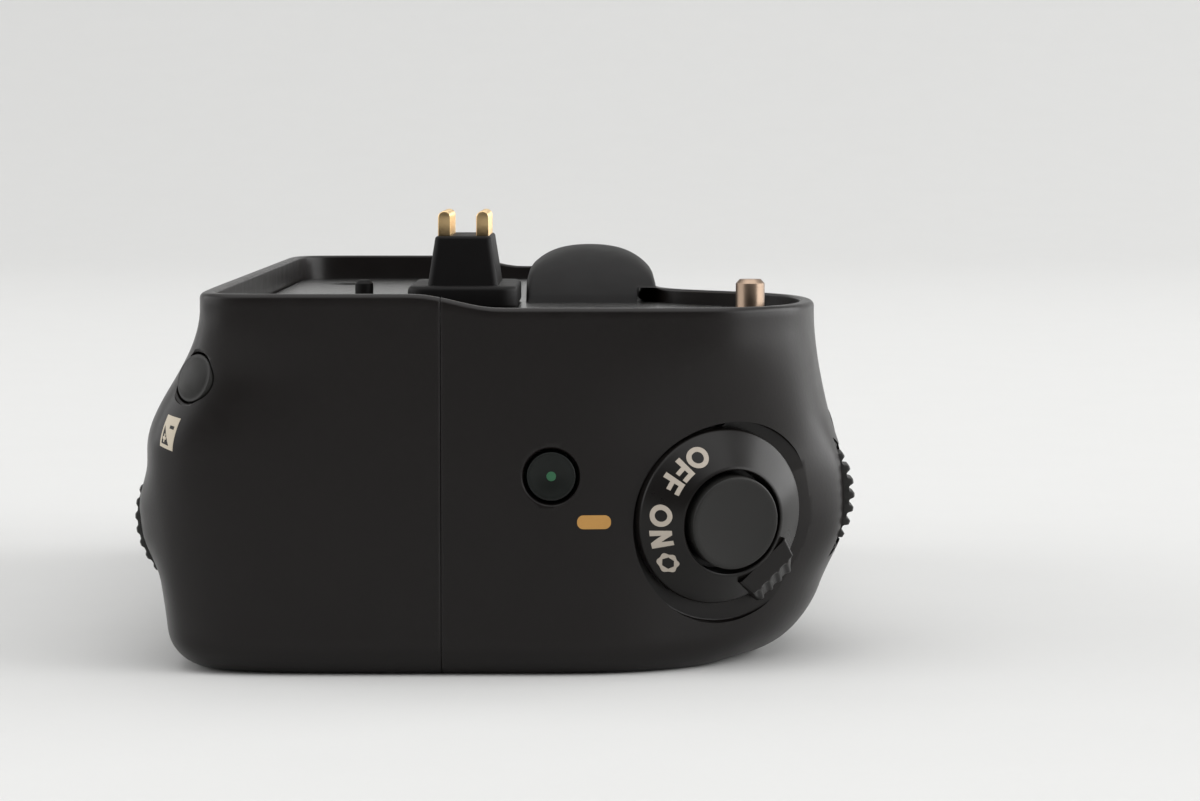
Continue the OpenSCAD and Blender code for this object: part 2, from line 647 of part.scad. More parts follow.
module tray_latch() {
    color([0.2, 0.2, 0.2]) translate([0, 0, cell_z]) rotate([0, 90, 0]) {
        translate([0, 0, door_end - knob_deep + slide_gap]) difference() {
            cylinder(r = latch_r, h = knob_deep - slide_gap);
            for (s = [-1, 1]) translate([s * 3.4, 0, 1.5]) cube([4, 2 * latch_r - 4, 2], center = true);
        }
        translate([0, 0, door_in + 0.4]) cylinder(r = 2, h = door_t - knob_deep);
    }
}

module latch_tongue() {
    color([0.7, 0.7, 0.7]) translate([tongue_x, 0, cell_z]) difference() {
        union() {
            rotate([0, 90, 0]) cylinder(r = 3.2, h = tongue_t);
            translate([0, 0, -2]) cube([tongue_t, tongue_l, 4]);
        }
        rotate([0, 90, 0]) cylinder(r = 2 + fit_gap, h = 9, center = true);
    }
}

front_casing();
rear_casing();
top_deck();
lens_shoulder();
base_plate();
tripod_bush();
chassis();
connector_tower();
connector_contacts();
guide_pin();
locating_peg();
front_dial_axle();
rear_dial_axle();
control_board();
release_switch();
tact_switches();
rear_switch_strip();
chamber_contacts();
case_screws();
deck_screws();
front_grip_skin();
thumb_rest_skin();
shutter_button();
power_ring();
ring_retainer();
green_button();
exposure_button();
focus_button();
lock_button();
front_dial();
rear_dial();
fixing_wheel();
fixing_screw();
thrust_washer();
battery_tray();
tray_door();
battery_cells();
tray_contacts();
tray_latch();
latch_tongue();
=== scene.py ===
"""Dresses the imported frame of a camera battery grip.

The grip lies with its shutter end at -X, its front at -Y and the table at Z = 0.
Every surface below is worked out in millimetres with numpy and put into the
frame in metres.
"""
import logging
import math
from dataclasses import dataclass
from enum import Enum
from typing import Sequence

import bmesh
import bpy
import numpy as np
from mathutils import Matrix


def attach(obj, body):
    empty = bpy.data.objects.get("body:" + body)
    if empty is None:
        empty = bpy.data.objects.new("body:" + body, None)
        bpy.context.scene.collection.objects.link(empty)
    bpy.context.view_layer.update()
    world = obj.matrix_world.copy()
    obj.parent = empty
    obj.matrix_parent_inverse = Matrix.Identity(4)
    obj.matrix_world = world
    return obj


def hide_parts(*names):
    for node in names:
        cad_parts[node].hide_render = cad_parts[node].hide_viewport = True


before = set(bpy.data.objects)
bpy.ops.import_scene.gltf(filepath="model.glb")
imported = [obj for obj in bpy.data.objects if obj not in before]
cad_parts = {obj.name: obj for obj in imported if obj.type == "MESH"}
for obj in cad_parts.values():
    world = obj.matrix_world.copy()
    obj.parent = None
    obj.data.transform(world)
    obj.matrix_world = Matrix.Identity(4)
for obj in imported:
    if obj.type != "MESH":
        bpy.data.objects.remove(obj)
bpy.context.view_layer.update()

MM = 0.001
LOG = logging.getLogger("battery_grip")
ROUGH_SPREAD = 0.07
ROUGH_LEAST = 0.05
BRUSH_STRETCH = (0.06, 1.0, 1.0)
TURN_STRETCH = (0.15, 0.15, 1.0)
# Broad noise of colour and roughness: least size in millimetres and size in grain cells
COLOUR_PATCH = (6.0, 12)
ROUGH_PATCH = (3.0, 5)
# Lengths in metres below which points merge and edges count as slivers
MERGE_DIST = 2e-7
SLIVER_DIST = 1e-8
# A number or an array of numbers
Value = float | np.ndarray


# Finishes


class Grain(Enum):
    """Kinds of fine surface relief."""

    LEATHER = "leather"
    SATIN = "satin"
    PEBBLE = "pebble"
    BRUSHED = "brushed"
    TURNED = "turned"
    PAINT = "paint"


@dataclass(frozen=True)
class Finish:
    """One surface finish: colour, gloss and relief at a real scale.

    Attributes:
        name: Name of the material.
        colour: Linear base colour.
        roughness: Mean roughness.
        grain: Kind of relief.
        pitch: Size of one grain cell in millimetres.
        depth: Height of the relief in millimetres.
        metallic: 1 for bare metal.
        tint: Share by which the colour wanders over the surface.
        specular: Specular level of the shader.
    """

    name: str
    colour: tuple[float, float, float]
    roughness: float
    grain: Grain
    pitch: float = 0.6
    depth: float = 0.02
    metallic: float = 0.0
    tint: float = 0.18
    specular: float = 0.5

    def material(self) -> bpy.types.Material:
        """Builds the node material once and returns it.

        Returns:
            The material of this finish.
        """
        found = bpy.data.materials.get(self.name)
        if found:
            return found
        made = bpy.data.materials.new(self.name)
        made.use_nodes = True
        tree = made.node_tree
        shader = tree.nodes["Principled BSDF"]
        shader.inputs["Metallic"].default_value = self.metallic
        shader.inputs["Specular IOR Level"].default_value = self.specular
        coords = tree.nodes.new("ShaderNodeTexCoord")
        mapping = tree.nodes.new("ShaderNodeMapping")
        tree.links.new(coords.outputs["Object"], mapping.inputs["Vector"])
        height = self._relief(tree, mapping)
        self._colour(tree, mapping, shader, height)
        self._roughness(tree, mapping, shader)
        bump = tree.nodes.new("ShaderNodeBump")
        bump.inputs["Strength"].default_value = 1.0
        bump.inputs["Distance"].default_value = self.depth * MM
        tree.links.new(height, bump.inputs["Height"])
        tree.links.new(bump.outputs["Normal"], shader.inputs["Normal"])
        return made

    def _noise(self, tree: bpy.types.NodeTree, mapping: bpy.types.Node, pitch: float,
               detail: float) -> bpy.types.NodeSocket:
        """Adds a noise texture whose features are pitch millimetres wide.

        Args:
            tree: Node tree to add to.
            mapping: Mapping node that feeds it.
            pitch: Feature size in millimetres.
            detail: Octaves of the noise.

        Returns:
            The factor output.
        """
        noise = tree.nodes.new("ShaderNodeTexNoise")
        noise.inputs["Scale"].default_value = 1.0 / (pitch * MM)
        noise.inputs["Detail"].default_value = detail
        tree.links.new(mapping.outputs["Vector"], noise.inputs["Vector"])
        return noise.outputs["Fac"]

    def _relief(self, tree: bpy.types.NodeTree, mapping: bpy.types.Node) -> bpy.types.NodeSocket:
        """Adds the relief pattern: warped rounded cells for leather and pebble, noise for the rest.

        Args:
            tree: Node tree to add to.
            mapping: Mapping node that feeds the pattern.

        Returns:
            The height output.
        """
        if self.grain in (Grain.LEATHER, Grain.PEBBLE):
            smooth, warp_pitch, warp_reach, fine_pitch = 0.6, 2.5, 1.6, 0.35
            fine_share = 0.35 if self.grain is Grain.LEATHER else 0.15
            cells = tree.nodes.new("ShaderNodeTexVoronoi")
            cells.feature = "SMOOTH_F1"
            cells.inputs["Scale"].default_value = 1.0 / (self.pitch * MM)
            cells.inputs["Smoothness"].default_value = smooth
            warp = self._noise(tree, mapping, self.pitch * warp_pitch, 3.0)
            offset = tree.nodes.new("ShaderNodeVectorMath")
            offset.operation = "MULTIPLY_ADD"
            offset.inputs[1].default_value = (self.pitch * MM * warp_reach,) * 3
            tree.links.new(warp, offset.inputs[0])
            tree.links.new(mapping.outputs["Vector"], offset.inputs[2])
            tree.links.new(offset.outputs["Vector"], cells.inputs["Vector"])
            blend = tree.nodes.new("ShaderNodeMix")
            blend.inputs[0].default_value = fine_share
            tree.links.new(cells.outputs["Distance"], blend.inputs[2])
            tree.links.new(self._noise(tree, mapping, self.pitch * fine_pitch, 2.0), blend.inputs[3])
            return blend.outputs[0]
        if self.grain is Grain.BRUSHED:
            mapping.inputs["Scale"].default_value = BRUSH_STRETCH
        if self.grain is Grain.TURNED:
            mapping.inputs["Scale"].default_value = TURN_STRETCH
        return self._noise(tree, mapping, self.pitch, 4.0)

    def _colour(self, tree: bpy.types.NodeTree, mapping: bpy.types.Node, shader: bpy.types.Node,
                height: bpy.types.NodeSocket) -> None:
        """Lets the colour wander with broad noise and sink into the relief.

        Args:
            tree: Node tree to add to.
            mapping: Mapping node that feeds the noise.
            shader: Principled shader.
            height: Height output of the relief.
        """
        ramp = tree.nodes.new("ShaderNodeMapRange")
        ramp.inputs["To Min"].default_value = 1.0 - self.tint
        ramp.inputs["To Max"].default_value = 1.0 + self.tint
        least, cells = COLOUR_PATCH
        tree.links.new(self._noise(tree, mapping, max(least, self.pitch * cells), 3.0), ramp.inputs["Value"])
        sink = tree.nodes.new("ShaderNodeMapRange")
        sink.inputs["To Min"].default_value = 1.0 - self.tint
        sink.inputs["To Max"].default_value = 1.0 + self.tint * 0.5
        tree.links.new(height, sink.inputs["Value"])
        gain = tree.nodes.new("ShaderNodeMath")
        gain.operation = "MULTIPLY"
        tree.links.new(ramp.outputs["Result"], gain.inputs[0])
        tree.links.new(sink.outputs["Result"], gain.inputs[1])
        scale = tree.nodes.new("ShaderNodeVectorMath")
        scale.operation = "SCALE"
        scale.inputs[0].default_value = self.colour
        tree.links.new(gain.outputs["Value"], scale.inputs["Scale"])
        tree.links.new(scale.outputs["Vector"], shader.inputs["Base Color"])

    def _roughness(self, tree: bpy.types.NodeTree, mapping: bpy.types.Node, shader: bpy.types.Node) -> None:
        """Lets the roughness wander a little, as handled surfaces do.

        Args:
            tree: Node tree to add to.
            mapping: Mapping node that feeds the noise.
            shader: Principled shader.
        """
        ramp = tree.nodes.new("ShaderNodeMapRange")
        ramp.inputs["To Min"].default_value = max(ROUGH_LEAST, self.roughness - ROUGH_SPREAD)
        ramp.inputs["To Max"].default_value = min(1.0, self.roughness + ROUGH_SPREAD)
        least, cells = ROUGH_PATCH
        tree.links.new(self._noise(tree, mapping, max(least, self.pitch * cells), 3.0), ramp.inputs["Value"])
        tree.links.new(ramp.outputs["Result"], shader.inputs["Roughness"])


class Look:
    """The finishes of this object."""

    CASING = Finish("casing_black", (0.0065, 0.0050, 0.0046), 0.35, Grain.LEATHER, 0.42, 0.006,
                    tint=0.12, specular=0.28)
    CONTROL = Finish("control_black", (0.0145, 0.014, 0.013), 0.48, Grain.SATIN, 0.16, 0.006,
                     tint=0.1, specular=0.3)
    RING = Finish("ring_black", (0.0065, 0.0055, 0.005), 0.30, Grain.SATIN, 0.14, 0.003,
                  tint=0.1, specular=0.26)
    DECK = Finish("deck_black", (0.017, 0.0165, 0.016), 0.24, Grain.SATIN, 0.22, 0.001, tint=0.1)
    TOWER = Finish("tower_black", (0.005, 0.0045, 0.0045), 0.50, Grain.SATIN, 0.22, 0.008,
                   tint=0.1, specular=0.14)
    RUBBER = Finish("grip_rubber", (0.017, 0.0165, 0.016), 0.72, Grain.PEBBLE, 0.95, 0.13,
                    tint=0.12, specular=0.35)
    STEEL = Finish("turned_steel", (0.46, 0.445, 0.42), 0.30, Grain.TURNED, 0.10, 0.003, 1.0, 0.06)
    PIN = Finish("warm_pin_steel", (0.34, 0.25, 0.185), 0.30, Grain.TURNED, 0.10, 0.003, 1.0, 0.06)
    PLATE = Finish("base_plate_black", (0.030, 0.030, 0.031), 0.38, Grain.BRUSHED, 0.20, 0.004, tint=0.12)
    GOLD = Finish("contact_gold", (0.84, 0.60, 0.31), 0.30, Grain.BRUSHED, 0.12, 0.002, 1.0, 0.05)
    FRAME = Finish("inner_frame", (0.050, 0.050, 0.053), 0.55, Grain.SATIN, 0.30, 0.010, tint=0.1)
    BOARD = Finish("circuit_board", (0.012, 0.075, 0.035), 0.40, Grain.SATIN, 0.50, 0.010, tint=0.3)
    SWITCH = Finish("switch_body", (0.30, 0.30, 0.28), 0.42, Grain.SATIN, 0.25, 0.004, tint=0.08)
    CELL = Finish("cell_jacket", (0.30, 0.20, 0.055), 0.34, Grain.BRUSHED, 0.25, 0.003, 0.6, 0.08)
    WHITE = Finish("mark_white", (0.48, 0.425, 0.36), 0.55, Grain.PAINT, 0.10, 0.004, tint=0.06)
    CREAM = Finish("mark_cream", (0.59, 0.52, 0.41), 0.55, Grain.PAINT, 0.10, 0.004, tint=0.06)
    GREEN = Finish("mark_green", (0.020, 0.115, 0.050), 0.45, Grain.PAINT, 0.12, 0.004, tint=0.1)
    ORANGE = Finish("mark_orange", (0.50, 0.26, 0.062), 0.50, Grain.PAINT, 0.12, 0.004, tint=0.08)
    GREEN_CAP = Finish("green_cap_black", (0.0075, 0.009, 0.008), 0.40, Grain.SATIN, 0.16, 0.004,
                       tint=0.1, specular=0.2)
    STEEL_DARK = Finish("screw_black", (0.10, 0.10, 0.10), 0.36, Grain.TURNED, 0.10, 0.003, 0.9, 0.08)
    FLOOR = Finish("floor_pale", (0.755, 0.755, 0.745), 0.85, Grain.PAINT, 1.5, 0.002,
                   tint=0.01, specular=0.2)


SLOT_FINISH: dict[str, Finish] = {
    "casing": Look.CASING, "deck": Look.DECK, "rubber": Look.RUBBER, "control": Look.CONTROL,
    "ring": Look.RING, "steel": Look.STEEL, "plate": Look.PLATE, "gold": Look.GOLD,
    "frame": Look.FRAME, "board": Look.BOARD, "switch": Look.SWITCH, "cell": Look.CELL,
}


# Surfaces


@dataclass
class Shell:
    """One closed surface: vertices in millimetres and faces by index."""

    verts: np.ndarray
    faces: list[list[int]]


def grid_faces(rows: int, cols: int, wrap_rows: bool, wrap_cols: bool) -> np.ndarray:
    """Numbers the quads of a grid of rows by cols vertices.

    Args:
        rows: Vertices along the first parameter.
        cols: Vertices along the second parameter.
        wrap_rows: True where the last row joins the first.
        wrap_cols: True where the last column joins the first.

    Returns:
        Quads as an array of four indices each.
    """
    r = np.arange(rows if wrap_rows else rows - 1)[:, None]
    c = np.arange(cols if wrap_cols else cols - 1)[None, :]
    r1, c1 = (r + 1) % rows, (c + 1) % cols
    return np.stack([r * cols + c, r * cols + c1, r1 * cols + c1, r1 * cols + c], -1).reshape(-1, 4)


def grid_shell(points: np.ndarray, wrap_rows: bool = False, wrap_cols: bool = True) -> Shell:
    """Makes a shell of a grid of points; rows that shrink to a point close as poles.

    Args:
        points: Array of rows, cols and 3 coordinates.
        wrap_rows: True where the rows form a loop.
        wrap_cols: True where the columns form a loop.

    Returns:
        The shell.
    """
    rows, cols = points.shape[:2]
    return Shell(points.reshape(-1, 3), grid_faces(rows, cols, wrap_rows, wrap_cols).tolist())


def slab(top: np.ndarray, bottom: np.ndarray) -> Shell:
    """Closes the space between two open grids of the same size.

    The upper grid keeps its quads, the lower grid has them turned over, and one strip
    of quads round the border joins the two.

    Args:
        top: Upper grid, rows by cols by 3.
        bottom: Lower grid of the same size.

    Returns:
        The closed shell.
    """
    rows, cols = top.shape[:2]
    n = rows * cols
    quads = grid_faces(rows, cols, False, False)
    edge = np.concatenate([
        np.arange(cols), np.arange(1, rows) * cols + cols - 1,
        (rows - 1) * cols + np.arange(cols - 2, -1, -1), np.arange(rows - 2, 0, -1) * cols,
    ])
    after = np.roll(edge, -1)
    side = np.stack([edge, edge + n, after + n, after], -1)
    faces = np.concatenate([quads, quads[:, ::-1] + n, side])
    return Shell(np.concatenate([top.reshape(-1, 3), bottom.reshape(-1, 3)]), faces.tolist())


def rounded_path(corners: Sequence[tuple[float, float, float]], closed: bool = False,
                 steps: int = 6) -> np.ndarray:
    """Turns a polyline with a radius at each corner into a smooth path.

    At a corner of radius r the path leaves the straight line r * tan(turn / 2)
    before the corner and follows a parabola close to the arc to the same distance
    after it.

    Args:
        corners: Points as x, y and corner radius.
        closed: True where the path is a loop.
        steps: Points on each arc.

    Returns:
        Points of the path, n by 2.
    """
    most = 0.499
    pts = np.array([c[:2] for c in corners], float)
    out: list[np.ndarray] = []
    count = len(pts)
    for i, (_, _, radius) in enumerate(corners):
        p = pts[i]
        if radius <= 0 or (not closed and i in (0, count - 1)):
            out.append(p[None])
            continue
        a, b = pts[i - 1] - p, pts[(i + 1) % count] - p
        la, lb = np.linalg.norm(a), np.linalg.norm(b)
        a, b = a / la, b / lb
        half = 0.5 * math.acos(float(np.clip(a @ b, -1, 1)))
        reach = min(radius / math.tan(half), most * la, most * lb)
        t = np.linspace(0, 1, steps)[:, None]
        start, end = p + a * reach, p + b * reach
        out.append((1 - t) ** 2 * start + 2 * t * (1 - t) * p + t ** 2 * end)
    return np.concatenate(out)


def revolve(profile: np.ndarray, steps: int = 128, loop: bool = False) -> Shell:
    """Turns a profile of radius and height about the z axis.

    Args:
        profile: Points as radius and height.
        steps: Vertices around.
        loop: True where the profile is a closed loop clear of the axis.

    Returns:
        The shell of revolution.
    """
    angle = np.linspace(0, 2 * np.pi, steps, endpoint=False)
    r, z = profile[:, :1], profile[:, 1:]
    pts = np.stack([r * np.cos(angle), r * np.sin(angle), np.broadcast_to(z, (len(r), steps))], -1)
    return grid_shell(pts, wrap_rows=loop)


def rectangle_ring(half_x: Value, half_y: Value, radius: Value, steps: int = 8) -> np.ndarray:
    """Points of rounded rectangles, one ring for each row of sizes.

    Args:
        half_x: Half widths along x.
        half_y: Half widths along y.
        radius: Corner radii.
        steps: Points on each corner.

    Returns:
        Rings as rows, points and 2 coordinates.
    """
    half_x, half_y, radius = (np.atleast_1d(np.asarray(v, float))[:, None] for v in (half_x, half_y, radius))
    quarter = np.linspace(0, np.pi / 2, steps)
    angle = (np.arange(4)[:, None] * np.pi / 2 + quarter).ravel()
    sx, sy = np.repeat([1, -1, -1, 1], steps), np.repeat([1, 1, -1, -1], steps)
    x = sx * (half_x - radius) + radius * np.cos(angle)
    y = sy * (half_y - radius) + radius * np.sin(angle)
    return np.stack([x, y], -1)


def block(levels: Sequence[tuple[float, float, float, float]], steps: int = 8) -> Shell:
    """Lofts rounded rectangles from level to level and closes both ends.

    Args:
        levels: Rows of half x, half y, corner radius and height.
        steps: Points on each corner.

    Returns:
        The closed block.
    """
    table = np.array(levels, float)
    table = np.concatenate([table[:1] * [0, 0, 0, 1], table, table[-1:] * [0, 0, 0, 1]])
    rings = rectangle_ring(table[:, 0], table[:, 1], table[:, 2], steps)
    z = np.broadcast_to(table[:, 3][:, None, None], rings.shape[:2] + (1,))
    return grid_shell(np.concatenate([rings, z], -1))


def soft_block(half_x: float, half_y: float, corner: float, low: float, high: float, edge: float) -> Shell:
    """A block with a rounded corner outline and rounded upper and lower edges.

    Args:
        half_x: Half width along x.
        half_y: Half width along y.
        corner: Corner radius seen from above.
        low: Lower face height.
        high: Upper face height.
        edge: Radius of the upper and lower edges.

    Returns:
        The block.
    """
    turn = np.linspace(0, np.pi / 2, 5)
    inset, drop = edge * (1 - np.sin(turn)), edge * (1 - np.cos(turn))
    below = [(half_x - i, half_y - i, corner, low + d) for i, d in zip(inset, drop)]
    above = [(half_x - i, half_y - i, corner, high - d) for i, d in zip(inset, drop)][::-1]
    return block(below + above)


@dataclass(frozen=True)
class Placement:
    """A local frame: origin and the directions of its x, y and z axes."""

    origin: np.ndarray
    axes: np.ndarray

    @staticmethod
    def facing(origin: np.ndarray, normal: np.ndarray) -> "Placement":
        """Frame whose z axis is the normal and whose x axis points down the slope.

        Args:
            origin: Origin in millimetres.
            normal: Unit direction of the local z axis.

        Returns:
            The frame.
        """
        polar, turn = math.acos(normal[2]), math.atan2(normal[1], normal[0])
        x = [math.cos(polar) * math.cos(turn), math.cos(polar) * math.sin(turn), -math.sin(polar)]
        y = [-math.sin(turn), math.cos(turn), 0.0]
        return Placement(np.asarray(origin, float), np.array([x, y, list(normal)]))

    def place(self, shell: Shell) -> Shell:
        """Carries a shell from this frame to the object's frame."""
        return Shell(self.origin + shell.verts @ self.axes, shell.faces)


def along_x(x: float, y: float, z: float) -> Placement:
    """Frame at a point whose local z axis runs along +X and local x along -Z."""
    return Placement(np.array([x, y, z]), np.array([[0, 0, -1.0], [0, 1.0, 0], [1.0, 0, 0]]))


def moved(shell: Shell, x: float, y: float, z: float, turn: float = 0.0) -> Shell:
    """Turns a shell about z by an angle in degrees, then shifts it."""
    c, s = math.cos(math.radians(turn)), math.sin(math.radians(turn))
    spin = np.array([[c, s, 0], [-s, c, 0], [0, 0, 1]])
    return Shell(shell.verts @ spin + [x, y, z], shell.faces)


def join(shells: Sequence[Shell]) -> Shell:
    """Puts several shells into one list of vertices and faces."""
    starts = np.cumsum([0] + [len(s.verts) for s in shells])
    faces = [[i + start for i in face] for s, start in zip(shells, starts) for face in s.faces]
    return Shell(np.concatenate([s.verts for s in shells]), faces)


# Pieces


def make_object(name: str, shell: Shell) -> bpy.types.Object:
    """Makes a mesh object of a shell, with doubles merged and faces outwards.

    Args:
        name: Name of the object.
        shell: Shell in millimetres.

    Returns:
        The object, linked to the scene.
    """
    mesh = bpy.data.meshes.new(name)
    mesh.from_pydata((shell.verts * MM).tolist(), [], shell.faces)
    work = bmesh.new()
    work.from_mesh(mesh)
    bmesh.ops.remove_doubles(work, verts=work.verts, dist=MERGE_DIST)
    bmesh.ops.dissolve_degenerate(work, edges=work.edges, dist=SLIVER_DIST)
    bmesh.ops.recalc_face_normals(work, faces=work.faces)
    work.to_mesh(mesh)
    work.free()
    obj = bpy.data.objects.new(name, mesh)
    bpy.context.scene.collection.objects.link(obj)
    return obj


class Change(Enum):
    """How a second shell changes a piece."""

    CUT = "DIFFERENCE"
    ADD = "UNION"
    KEEP = "INTERSECT"


def combine(obj: bpy.types.Object, shell: Shell, change: Change) -> None:
    """Runs an exact boolean of an object with a shell and keeps the result.

    Args:
        obj: Object to change.
        shell: Other operand in millimetres.
        change: What the other operand does to it.
    """
    other = make_object(obj.name + "_tool", shell)
    cut = obj.modifiers.new("cut", "BOOLEAN")
    cut.solver = "EXACT"
    cut.operation = change.value
    cut.object = other
    bpy.context.view_layer.update()
    ready = obj.evaluated_get(bpy.context.evaluated_depsgraph_get())
    old, obj.data = obj.data, bpy.data.meshes.new_from_object(ready)
    obj.modifiers.clear()
    obj.data.name = obj.name
    bpy.data.meshes.remove(old)
    tool_mesh = other.data
    bpy.data.objects.remove(other)
    bpy.data.meshes.remove(tool_mesh)


def finish_piece(obj: bpy.types.Object, finish: Finish, body: str,
                 stands_for: Sequence[str] = (), crease: float = 38.0) -> bpy.types.Object:
    """Shades, dresses and hands one piece to its body.

    Args:
        obj: Piece to finish.
        finish: Finish of its surface.
        body: Body that it rides on.
        stands_for: Solids of the frame that it replaces.
        crease: Edges sharper than this angle in degrees stay sharp.

    Returns:
        The piece.
    """
    mesh = obj.data
    mesh.materials.clear()
    mesh.materials.append(finish.material())
    mesh.polygons.foreach_set("use_smooth", np.ones(len(mesh.polygons), bool))
    mesh.set_sharp_from_angle(angle=math.radians(crease))
    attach(obj, body)
    if stands_for:
        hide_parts(*stands_for)
    LOG.info("piece %s: %d faces on %s", obj.name, len(mesh.polygons), body)
    return obj


def piece(name: str, shells: Sequence[Shell], finish: Finish, body: str,
          stands_for: Sequence[str] = (), crease: float = 38.0) -> bpy.types.Object:
    """Makes and finishes a piece from shells in one step.

    Args:
        name: Name of the piece.
        shells: Its shells in millimetres.
        finish: Finish of its surface.
        body: Body that it rides on.
        stands_for: Solids of the frame that it replaces.
        crease: Edges sharper than this angle in degrees stay sharp.

    Returns:
        The piece.
    """
    return finish_piece(make_object(name, join(shells)), finish, body, stands_for, crease)


# The body form


def lerp(a: Value, b: Value, t: Value) -> Value:
    """Straight blend from a to b."""
    return a + (b - a) * t


def ease(low: float, high: float, z: Value) -> Value:
    """Smooth step from 0 at low to 1 at high."""
    t = np.clip((z - low) / (high - low), 0, 1)
    return t * t * (3 - 2 * t)


def foot(radius: float, z: Value) -> Value:
    """How far a rounded lower edge of this radius stands in at height z."""
    rest = np.clip(radius - z, 0, radius)
    return radius - np.sqrt(radius * radius - rest * rest)


def roll_off(border: np.ndarray, edge: float) -> np.ndarray:
    """Drop of a rounded edge of this radius at a distance inside its border."""
    return edge * (1 - np.sqrt(1 - (1 - np.clip(border / edge, 0, 1)) ** 2))


@dataclass(frozen=True)
class BodyForm:
    """Outline of the casing at every height, as a closed cubic B-spline of 25 points.

    Each fade is the pair of heights between which a form eases out, and swell_fade
    counts its two heights down from the rim.
    """

    shutter_end: float = 70.0
    door_end: float = 60.0
    end_foot: float = 3.5
    rim_h: float = 37.2
    rim_step: float = 1.4
    rear_depth: float = 24.9
    rear_swell: float = 5.9
    rear_tuck: float = 2.2
    far_swell: float = 4.13
    far_tuck: float = 1.3
    tuck_h: float = 20.0
    rear_foot: float = 4.0
    grip_depth: float = 38.1
    grip_swell: float = 3.1
    grip_tuck: float = 4.0
    grip_tuck_h: float = 16.0
    grip_foot: float = 7.0
    mid_depth: float = 22.4
    mid_swell: float = 11.0
    mid_foot: float = 9.0
    facet_in: float = 3.7
    facet_lean: float = 0.15
    release_h: float = 15.9
    rear_corner: tuple[float, float] = (12.5, 8.0)
    rim_rise: tuple[float, float] = (-6.0, 3.0)
    swell_fade: tuple[float, float] = (14.7, 0.4)
    grip_fade: tuple[float, float] = (16.0, 36.0)
    mid_fade: tuple[float, float] = (18.0, 35.0)
    facet_fade: tuple[float, float] = (22.0, 34.0)
    corner_fade: tuple[float, float] = (29.0, 36.0)

    def swell(self, z: Value) -> Value:
        """Share of the rear swell at height z, fading out below the rim."""
        start, end = self.swell_fade
        return 1 - ease(self.rim_h - start, self.rim_h - end, z)

    def rear(self, z: Value) -> Value:
        """Depth of the rear face at height z."""
        tuck = self.rear_tuck * (1 - ease(0, self.tuck_h, z))
        return self.rear_depth + self.rear_swell * self.swell(z) - tuck - foot(self.rear_foot, z)

    def rear_far(self, z: Value) -> Value:
        """Depth of the rear face near the battery door."""
        tuck = self.far_tuck * (1 - ease(0, self.tuck_h, z))
        return self.rear_depth + self.far_swell * self.swell(z) - tuck - foot(self.rear_foot, z)

    def grip(self, z: Value) -> Value:
        """Depth of the hand grip at height z."""
        swell = self.grip_swell * (1 - ease(*self.grip_fade, z))
        tuck = self.grip_tuck * (1 - ease(0, self.grip_tuck_h, z))
        return self.grip_depth + swell - tuck - foot(self.grip_foot, z)

    def middle(self, z: Value) -> Value:
        """Depth of the middle of the front at height z."""
        swell = self.mid_swell * (1 - ease(*self.mid_fade, z))
        return self.mid_depth + swell - foot(self.mid_foot, z)

    def rim(self, y: np.ndarray) -> np.ndarray:
        """Height of the rim, which steps up towards the rear."""
        return self.rim_h + self.rim_step * ease(*self.rim_rise, y)

    def net(self, z: np.ndarray, inset: Value) -> np.ndarray:
        """Control polygon at each height, moved inwards by inset.

        Args:
            z: Heights.
            inset: Inward offset, a number or an array like z.

        Returns:
            Control points, shape of z plus 25 by 2.
        """
        rear, far = self.rear(z) - inset, self.rear_far(z) - inset
        grip, mid = self.grip(z) - inset, self.middle(z) - inset
        end = self.shutter_end - foot(self.end_foot, z) - inset
        door = self.door_end - foot(self.end_foot, z) - inset
        low = 1 - ease(*self.facet_fade, z)
        corner = lerp(*self.rear_corner, ease(*self.corner_fade, z))
        facet = self.facet_in + (self.release_h - z) * self.facet_lean
        zero = np.zeros_like(rear)
        pairs = [
            (-end, rear - corner), (-end, zero + 6), (-end, zero - 8), (-end, -lerp(21, 19, low)),
            (-end + lerp(0.1, facet, low), -lerp(30, 28, low)),
            (-end + lerp(8, 5.1 + facet, low), -grip + lerp(0.8, 3, low)),
            (-end + lerp(21, 17.5, low), -grip - 0.8), (-end + lerp(32, 30, low), -grip - 0.2),
            (zero - 28, -lerp(grip, mid, 0.25)), (zero - 20, -lerp(grip, mid, 0.9)),
            (zero - 8, -mid), (zero + 12, -mid), (zero + 32, -mid),
            (door - 10, -mid), (door, -mid), (door, 9 - mid), (door, zero), (door, far - 9), (door, far),
            (door - 10, far), (zero + 25, far), (zero - 5, lerp(rear, far, 0.5)), (zero - 35, rear),
            (-end + corner, rear), (-end + 0.09 * corner, rear - 0.05 * corner),
        ]
        return np.stack([np.stack(pair, -1) for pair in pairs], -2)

    def point(self, u: Value, z: Value, inset: Value = 0.0) -> np.ndarray:
        """Points of the outline at position u and height z.

        The curve piece floor(u) blends four neighbouring control points with the
        uniform cubic B-spline weights of t = u - floor(u).

        Args:
            u: Positions along the outline, 0 to 25.
            z: Heights, broadcast against u.
            inset: Inward offset, broadcast against u.

        Returns:
            Points with 3 coordinates.
        """
        u, z, inset = np.broadcast_arrays(*(np.asarray(v, float) for v in (u, z, inset)))
        net = self.net(z, inset)
        k = np.floor(u).astype(int)
        t = (u - k)[..., None]

        def control(i: int) -> np.ndarray:
            """Control point i places after the start of each piece."""
            place = (k + i) % net.shape[-2]
            return np.take_along_axis(net, place[..., None, None], -2)[..., 0, :]

        flat = ((1 - t) ** 3 * control(-1) + (3 * t ** 3 - 6 * t ** 2 + 4) * control(0)
                + (3 * t - 3 * t ** 3 + 3 * t ** 2 + 1) * control(1) + t ** 3 * control(2)) / 6
        return np.concatenate([flat, z[..., None]], -1)

